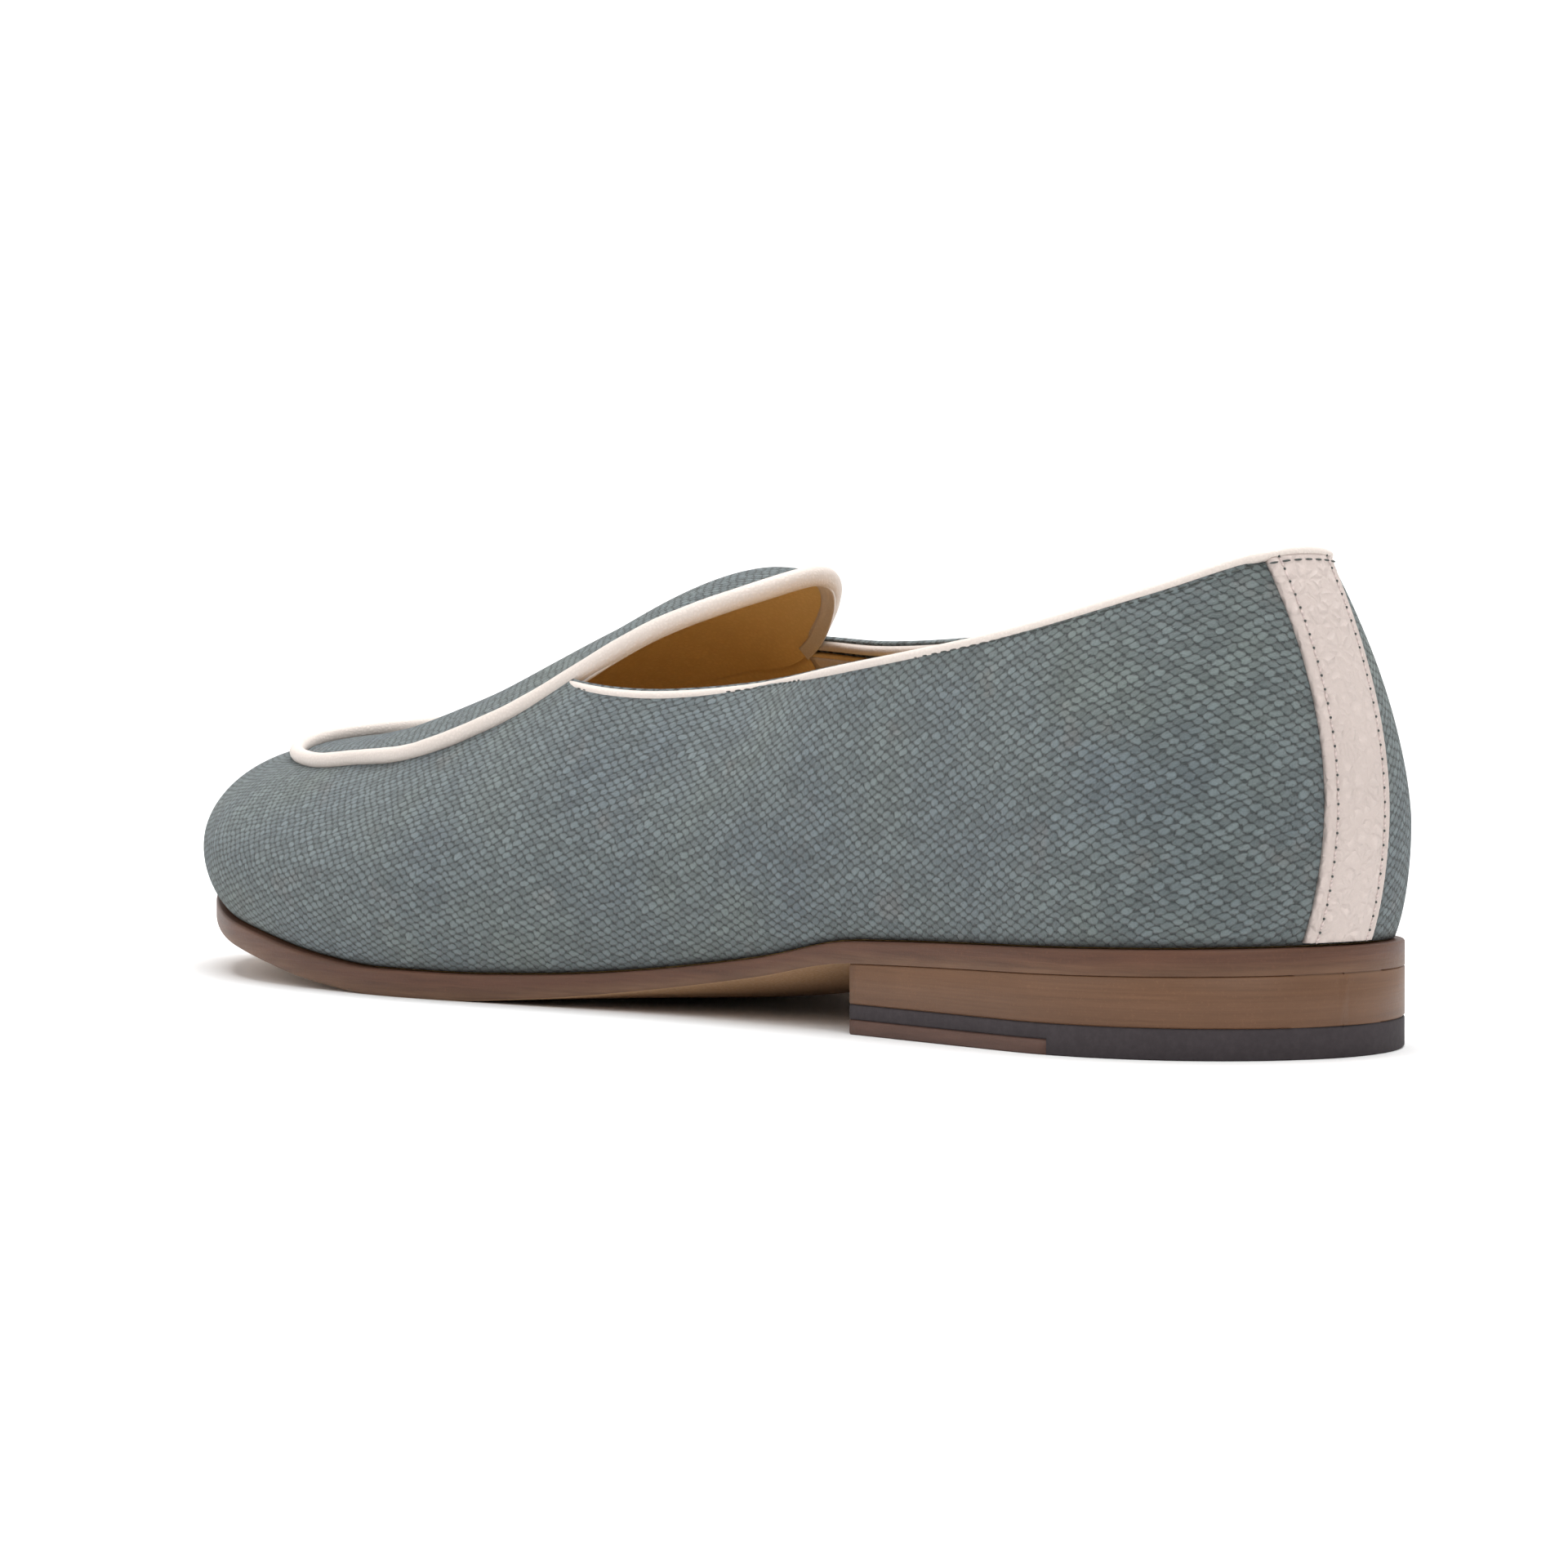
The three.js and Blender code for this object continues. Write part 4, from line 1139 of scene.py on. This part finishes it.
    def tongue_facing(self, sizes):
        """The band that the piping turns under the tongue's edge, from one junction to the other."""
        limit = (OUTER_JUNCTION - TONGUE_END) / (APRON_END - TONGUE_END)
        shares = limit * eased(160)[:140] / eased(160)[139]
        middle = (apron_across(shares, 1) + apron_across(shares, -1)) / 2
        along = mix(TONGUE_END, APRON_END, shares)
        columns = []
        for side in (1, -1):
            edge = np.stack((along, apron_across(shares, side)), axis=-1)
            tangent = np.gradient(edge, axis=0)
            tangent /= np.linalg.norm(tangent, axis=-1, keepdims=True)
            inwards = np.stack((-tangent[:, 1], tangent[:, 0]), axis=-1)
            centre = np.stack((along + 20, middle), axis=-1)
            inwards *= np.sign(((centre - edge) * inwards).sum(axis=-1, keepdims=True))

            def under(place):
                turn = turn_above(place[:, 0], place[:, 1], WALL + 0.2)
                return around(place[:, 0] / SOLE_LENGTH, turn, WALL + 0.2)

            step = under(edge + inwards * 0.5) - under(edge)
            steepness = np.linalg.norm(step, axis=-1, keepdims=True) / 0.5
            reaches = np.linspace(-0.5, 0.6 + sizes.tongue_facing * 1000, 8)
            column = np.stack([under(edge + inwards * reach / steepness) for reach in reaches], axis=1)
            columns.append(column[::-1] if side > 0 else column[1:])
        return np.concatenate(columns)


def back_section(across, height, inset):
    """The side and the section of the upper's back at a place across and up."""
    middle = float(outline(0.0, 1, 0.0)[1])
    side = np.where(across >= middle, 1.0, -1.0)

    def reach(share):
        level = level_at_height(share, side, height, inset, 20)
        return side * upper_point(share, level, side, inset)[..., 1]

    return side, solve(reach, side * across, 0, 0.08, 20)


def strip_place(across, height, inset):
    """The upper's back at a place across and up, moved inwards by inset."""
    side, share = back_section(across, height, inset)
    return upper_point(share, level_at_height(share, side, height, inset), side, inset)


class MakeBackStrip(LoaferPiece):
    """Make the pebbled leather strip over the back seam, with its two rows of stitches"""

    bl_idname = "loafer.make_back_strip"
    bl_label = "Back strip"

    stitch_margin = 1.6

    def make(self, sizes, colours):
        leather = ("Strip leather", colours.strip, sizes.pebble)
        material = leather_material(*leather, depth=0.0004, roughness=0.48, crease_shade=0.8, coat=0.08)
        self.top_line = self.tops()
        strip = new_piece("strip_back", mesh_from("strip_back", self.grid(), rings=True))
        finish_piece(strip, material, "strip", "back_strip")
        paths = [self.row(side) for side in (1, -1)]
        thread = stitch_tree(thread_material("Pale thread", colours.pale_thread))
        values = {"Pitch": sizes.stitch_pitch, "Length": sizes.stitch_length, "Thickness": sizes.thread}
        finish_piece(grown("stitches_strip", paths, thread, values), None, "strip")
        # Painted shade: dark dots between the stitches stand in for the shade inside the needle holes.
        holes = stitch_tree(thread_material("Needle hole shade", colours.dark_thread_and_hole_shade))
        values["Offset"] = sizes.stitch_pitch / 2
        values["Length"] = sizes.thread
        finish_piece(grown("needle_hole_shade_strip", paths, holes, values), None, "strip")

    def tops(self):
        """The strip's height under the binding, at places across its width."""
        across = np.linspace(-10, 10, 21)
        side, share = back_section(across, np.full(across.shape, BACK_HEIGHT - 2), 0.0)
        return across, collar_height(share * SOLE_LENGTH / junction(side), side) - BINDING_HEIGHT / 2 + 0.5

    def place(self, share, half_share, inset):
        """A point at a share of the height and a share of the half width, from -1 to 1."""
        across = -STRIP_BOW * math.sin(math.pi * share) + half_share * mix(STRIP_FOOT, STRIP_TOP, share) / 2
        foot = float(sole_top(0.0)) + 2 * CLEARANCE
        return across, mix(foot, np.interp(across, *self.top_line), share), inset

    def surface(self, places):
        across, height, inset = (np.array(column) for column in zip(*places))
        return strip_place(across, height, inset)

    def relief(self, half_share):
        """How far the strip stands over the cloth: rounded edges, and a dip along each row of stitches."""
        half_width = STRIP_FOOT / 2
        from_edge = (1 - abs(half_share)) * half_width
        rounded = STRIP_THICKNESS * min(1.0, 0.45 + 0.55 * math.sqrt(max(0.0, min(1.0, from_edge / 0.5))))
        dip = 0.22 * math.exp(-(((from_edge - self.stitch_margin) / 0.45) ** 2))
        return rounded - dip

    def grid(self):
        heights = np.linspace(0, 1, 100)
        inside = np.sin(np.linspace(-1, 1, 41) * np.pi / 2)
        rings = []
        for share in heights:
            ring = [self.place(share, half, -CLEARANCE - self.relief(half)) for half in inside]
            ring += [self.place(share, half, -0.1) for half in inside[::-2]]
            rings.append(ring)
        flat = [place for ring in rings for place in ring]
        grid = self.surface(flat).reshape(len(rings), -1, 3)
        return capped(grid, grid[0].mean(axis=0), grid[-1].mean(axis=0))

    def row(self, side):
        """The path of one row of stitches."""
        half = side * (1 - self.stitch_margin / (STRIP_FOOT / 2))
        inset = -CLEARANCE - STRIP_THICKNESS + 0.16
        return self.surface([self.place(share, half, inset) for share in np.linspace(0.01, 0.985, 160)])


class MakeStitches(LoaferPiece):
    """Make the dark stitches below the collar's binding"""

    bl_idname = "loafer.make_stitches"
    bl_label = "Collar stitches"

    def make(self, sizes, colours):
        tree = stitch_tree(thread_material("Dark thread", colours.dark_thread_and_hole_shade))
        values = {"Pitch": sizes.stitch_pitch, "Length": sizes.stitch_length, "Thickness": sizes.thread * 0.8}
        shares = np.linspace(0.0, 0.97, 500) ** 1.5
        paths = []
        for side in (1, -1):
            across = collar_point(shares, side, 0.0, 1.2)[:, 1]
            on_strip = 1 - smooth(np.abs(across), STRIP_TOP / 2, STRIP_TOP / 2 + 0.8)
            on_strip *= shares < 0.2
            paths.append(collar_point(shares, side, -0.02 - (STRIP_THICKNESS + CLEARANCE) * on_strip, 1.2))
        finish_piece(grown("stitches_collar", paths, tree, values), None, "piping")


class MakeSole(LoaferPiece):
    """Make the leather outsole with its burnished edge"""

    bl_idname = "loafer.make_sole"
    bl_label = "Sole"

    def make(self, sizes, colours):
        fine = {"lines": (40.0, 40.0, 900.0), "speckle": 0.0006, "depth": 0.00008}
        fine["low_colour"] = colours.sole_edge_low
        edge = edge_material("Sole edge", colours.sole_edge, 0.6, 0.5, **fine)
        face = leather_material("Sole underside", colours.sole_face, 0.0009, 0.00003, 0.5, 0.85)
        grid, rises = self.grid()
        sole = new_piece("sole_leather", mesh_from("sole_leather", grid, rings=True, marks={"rise": rises}))
        finish_piece(sole, edge, "sole", "outsole")
        sole.data.materials.append(face)
        for polygon in sole.data.polygons:
            polygon.material_index = 1 if polygon.normal.z < -0.85 else 0

    def grid(self):
        """Rings round the sole, and how far up its edge each point lies. The sole is flat on top, round at
        its edges and crowned under the waist. Over the heel its lower edge is sharp."""
        corner = np.linspace(0, math.pi / 2, 6)
        rings, rises = [], []
        for share in eased(190):
            bevel = mix(0.03, SOLE_BEVEL, float(smooth(share * SOLE_LENGTH, HEEL_LENGTH, HEEL_LENGTH + 15)))
            ring, rise = [], []
            for side in (1, -1):
                column = []
                for inset, up in zip(bevel * (1 - np.sin(corner)), bevel * (1 - np.cos(corner))):
                    along, across = outline(share, side, inset)
                    column.append((along, across, float(sole_bottom(along)) + up))
                for inset, down in zip(0.5 * (1 - np.cos(corner)), 0.5 * (1 - np.sin(corner))):
                    along, across = outline(share, side, inset)
                    column.append((along, across, float(sole_top(along)) - down))
                low, high = np.array(column[5]), np.array(column[6])
                column[6:6] = [tuple(mix(low, high, step)) for step in (0.25, 0.5, 0.75)]
                bottom, top = column[0][2], column[-1][2]
                rising = [(point[2] - bottom) / (top - bottom) for point in column]
                ring.extend(column if side > 0 else column[::-1])
                rise.extend(rising if side > 0 else rising[::-1])
            inner, outer = outline(share, -1, bevel), outline(share, 1, bevel)
            for turn in np.linspace(-1, 1, 22)[1:-1]:
                height = float(sole_underside(inner[0], turn))
                ring.append((inner[0], mix(inner[1], outer[1], (turn + 1) / 2), height))
                rise.append(0.0)
            rings.append(ring)
            rises.append(rise)
        return np.array(rings), np.array(rises)


def flat_at(height):
    """A level surface, as a height for any place."""
    return lambda along, turn: height


class MakeHeel(LoaferPiece):
    """Make the stacked heel, its rubber top piece and the leather let into that"""

    bl_idname = "loafer.make_heel"
    bl_label = "Heel"

    chamfer = 0.3

    def make(self, sizes, colours):
        stack = edge_material("Heel lifts", colours.stack, 0.72, 0.5, (30.0, 30.0, 1500.0), 0.0005, 0.00006)
        rubber = rubber_material(colours.rubber)
        lines = (60.0, 60.0, 700.0)
        insert = edge_material("Insert leather", colours.insert, 0.7, 0.55, lines, 0.0005, 0.00008)
        step = INSERT_REAR / HEEL_LENGTH
        front = mix(step, 1.0, np.linspace(0, 1, 30))
        lifts = self.layer(np.linspace(0, 1, 72) ** 1.9, flat_at(TOP_PIECE), self.under_sole)
        leather = self.layer(front, flat_at(0.0), flat_at(INSERT))
        for name, grid, material, slot, node in (
            ("heel_lifts", lifts, stack, "stack", "heel_stack"),
            ("top_piece_rubber", self.top_piece(step), rubber, "rubber", "top_piece"),
            ("top_piece_leather", leather, insert, "sole", "top_piece_insert"),
        ):
            finish_piece(new_piece(name, mesh_from(name, grid, rings=True)), material, slot, node)

    def under_sole(self, along, turn):
        return sole_underside(along, turn) - 0.03

    def ring(self, share, bottom_at, top_at):
        """One ring across the heel, with its edges taken off."""
        end = HEEL_LENGTH / SOLE_LENGTH
        turns = np.linspace(-1, 1, 24)
        points = []
        for heights, rise, order in ((bottom_at, 1, 1), (top_at, -1, -1)):
            row = []
            for i, turn in enumerate(turns):
                inset = self.chamfer if i in (0, len(turns) - 1) else 0.0
                inner, outer = outline(share * end, -1, inset), outline(share * end, 1, inset)
                hollow = BREAST_HOLLOW * (1 - turn * turn) * share**4
                along = inner[0] - hollow
                row.append((along, mix(inner[1], outer[1], (turn + 1) / 2), float(heights(along, turn))))
            sides = []
            for side in (-1, 1):
                along, across = outline(share * end, side, 0.0)
                sides.append((along, across, float(heights(along, side)) + rise * self.chamfer))
            row = [sides[0], *row, sides[1]]
            points.extend(row[::order])
        return points

    def closing(self, rings):
        """Closes both ends of a row of rings on the middle of their heights."""
        grid = np.array(rings)
        half = grid.shape[1] // 2
        ends = grid[[0, -1]]
        heights = (ends[:, :half, 2] + ends[:, half:, 2][:, ::-1]) / 2
        ends[:, :half, 2] = heights
        ends[:, half:, 2] = heights[:, ::-1]
        ends[:, half:, :2] = ends[:, :half, :2][:, ::-1]
        return np.concatenate((ends[:1], grid, ends[1:]))

    def layer(self, shares, bottom_at, top_at):
        return self.closing([self.ring(share, bottom_at, top_at) for share in shares])

    def top_piece(self, step):
        """The rubber is whole behind the insert and lies over it in front."""
        top = flat_at(TOP_PIECE)
        rear = [self.ring(share, flat_at(0.0), top) for share in step * np.linspace(0, 1, 40) ** 1.9]
        front = [self.ring(share, flat_at(INSERT), top) for share in mix(step, 1, np.linspace(0, 1, 30))]
        return self.closing(rear + front)


class MakeStage(LoaferPiece):
    """Make the pale floor, the studio lights and the camera"""

    bl_idname = "loafer.make_stage"
    bl_label = "Floor, lights and camera"

    # The camera stands behind the shoe on its outer side, low over the floor, in the shoe's millimetres.
    camera_place = (-606.13, 579.76, 74.18)
    aim_at = (134.0, 2.0, 37.0)
    lens = 128.0

    def make(self, sizes, colours):
        self.floor()
        self.lights()
        self.camera()

    def floor(self):
        bend, radius = 0.9, 0.8
        curve = [(bend + radius * math.sin(a), radius * (1 - math.cos(a))) for a in np.linspace(0, 1.57, 24)]
        profile = [(-1.5, 0.0), *curve, (bend + radius, 3.0)]
        view = Vector((self.aim_at[1] - self.camera_place[1], -(self.aim_at[0] - self.camera_place[0])))
        view.normalize()
        beside = Vector((-view.y, view.x))
        points, faces = [], []
        for distance, height in profile:
            for side in (-4.0, 4.0):
                place = view * distance + beside * side
                points.append((place.x, place.y, height))
        for i in range(len(profile) - 1):
            faces.append((2 * i, 2 * i + 1, 2 * i + 3, 2 * i + 2))
        mesh = bpy.data.meshes.new("floor")
        mesh.from_pydata(points, [], faces)
        for polygon in mesh.polygons:
            polygon.use_smooth = True
        floor = new_piece("floor", mesh)
        material, nodes, shader, place = new_material("Studio floor", 0.9, {"Specular IOR Level": 0.1})
        tone = nodes.noise(place, 6.0, 2.0)
        nodes.link(nodes.blend(tone, full((0.93,) * 3), full((0.9,) * 3)), shader, "Base Color")
        mesh.materials.append(material)

    def lights(self):
        target = Vector(placed(np.array(self.aim_at)))
        lamps = (
            ("key_light", (0.5, 1.3, 1.1), 1.2, 12.0),
            ("fill_light", (1.4, -0.5, 0.9), 1.4, 9.0),
            ("top_light", (-0.2, -0.3, 1.7), 1.6, 40.0),
            ("rim_light", (-1.2, 0.6, 0.9), 1.2, 5.0),
        )
        for name, place, size, power in lamps:
            data = bpy.data.lights.new(name, "AREA")
            data.size = size
            data.energy = power
            lamp = bpy.data.objects.new(name, data)
            lamp.location = target + Vector(place)
            lamp.rotation_euler = (target - lamp.location).to_track_quat("-Z", "Y").to_euler()
            bpy.context.scene.collection.objects.link(lamp)
        world = bpy.data.worlds.new("Studio")
        world.use_nodes = True
        background = world.node_tree.nodes["Background"].inputs
        background["Color"].default_value = (1.0, 1.0, 1.0, 1.0)
        background["Strength"].default_value = 0.34
        bpy.context.scene.world = world
        bpy.context.scene.view_settings.view_transform = "Standard"

    def camera(self):
        data = bpy.data.cameras.new("camera")
        data.lens = self.lens
        data.sensor_width = 36.0
        data.clip_start = 0.01
        camera = bpy.data.objects.new("camera", data)
        camera.location = placed(np.array(self.camera_place))
        aim = Vector(placed(np.array(self.aim_at)))
        camera.rotation_euler = (aim - camera.location).to_track_quat("-Z", "Y").to_euler()
        bpy.context.scene.collection.objects.link(camera)
        bpy.context.scene.camera = camera


class LoaferPanel(bpy.types.Panel):
    """Lists the loafer's pieces and settings"""

    bl_idname = "VIEW3D_PT_loafer"
    bl_label = "Belgian Loafer"
    bl_space_type = "VIEW_3D"
    bl_region_type = "UI"
    bl_category = "Loafer"

    def draw(self, context):
        for operator in MAKERS:
            self.layout.operator(operator.bl_idname)
        for group in (context.scene.loafer_sizes, context.scene.loafer_colours):
            box = self.layout.box()
            for name in group.__annotations__:
                box.prop(group, name)


MAKERS = (MakeStage, MakeCloth, MakeLining, MakePiping, MakeBackStrip, MakeStitches, MakeSole, MakeHeel)
CLASSES = (LoaferSizes, LoaferColours, *MAKERS, LoaferPanel)


def register():
    for cls in CLASSES:
        bpy.utils.register_class(cls)
    bpy.types.Scene.loafer_sizes = PointerProperty(type=LoaferSizes)
    bpy.types.Scene.loafer_colours = PointerProperty(type=LoaferColours)


def unregister():
    del bpy.types.Scene.loafer_colours
    del bpy.types.Scene.loafer_sizes
    for cls in reversed(CLASSES):
        bpy.utils.unregister_class(cls)


def corners(bounds):
    return [list(corner) for corner in bounds]


def main():
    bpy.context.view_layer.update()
    register()
    bpy.ops.loafer.make_stage()
    bpy.ops.loafer.make_cloth()
    bpy.ops.loafer.make_lining()
    bpy.ops.loafer.make_piping()
    bpy.ops.loafer.make_back_strip()
    bpy.ops.loafer.make_stitches()
    bpy.ops.loafer.make_sole()
    bpy.ops.loafer.make_heel()
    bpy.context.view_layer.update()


if __name__ == "__main__":
    main()
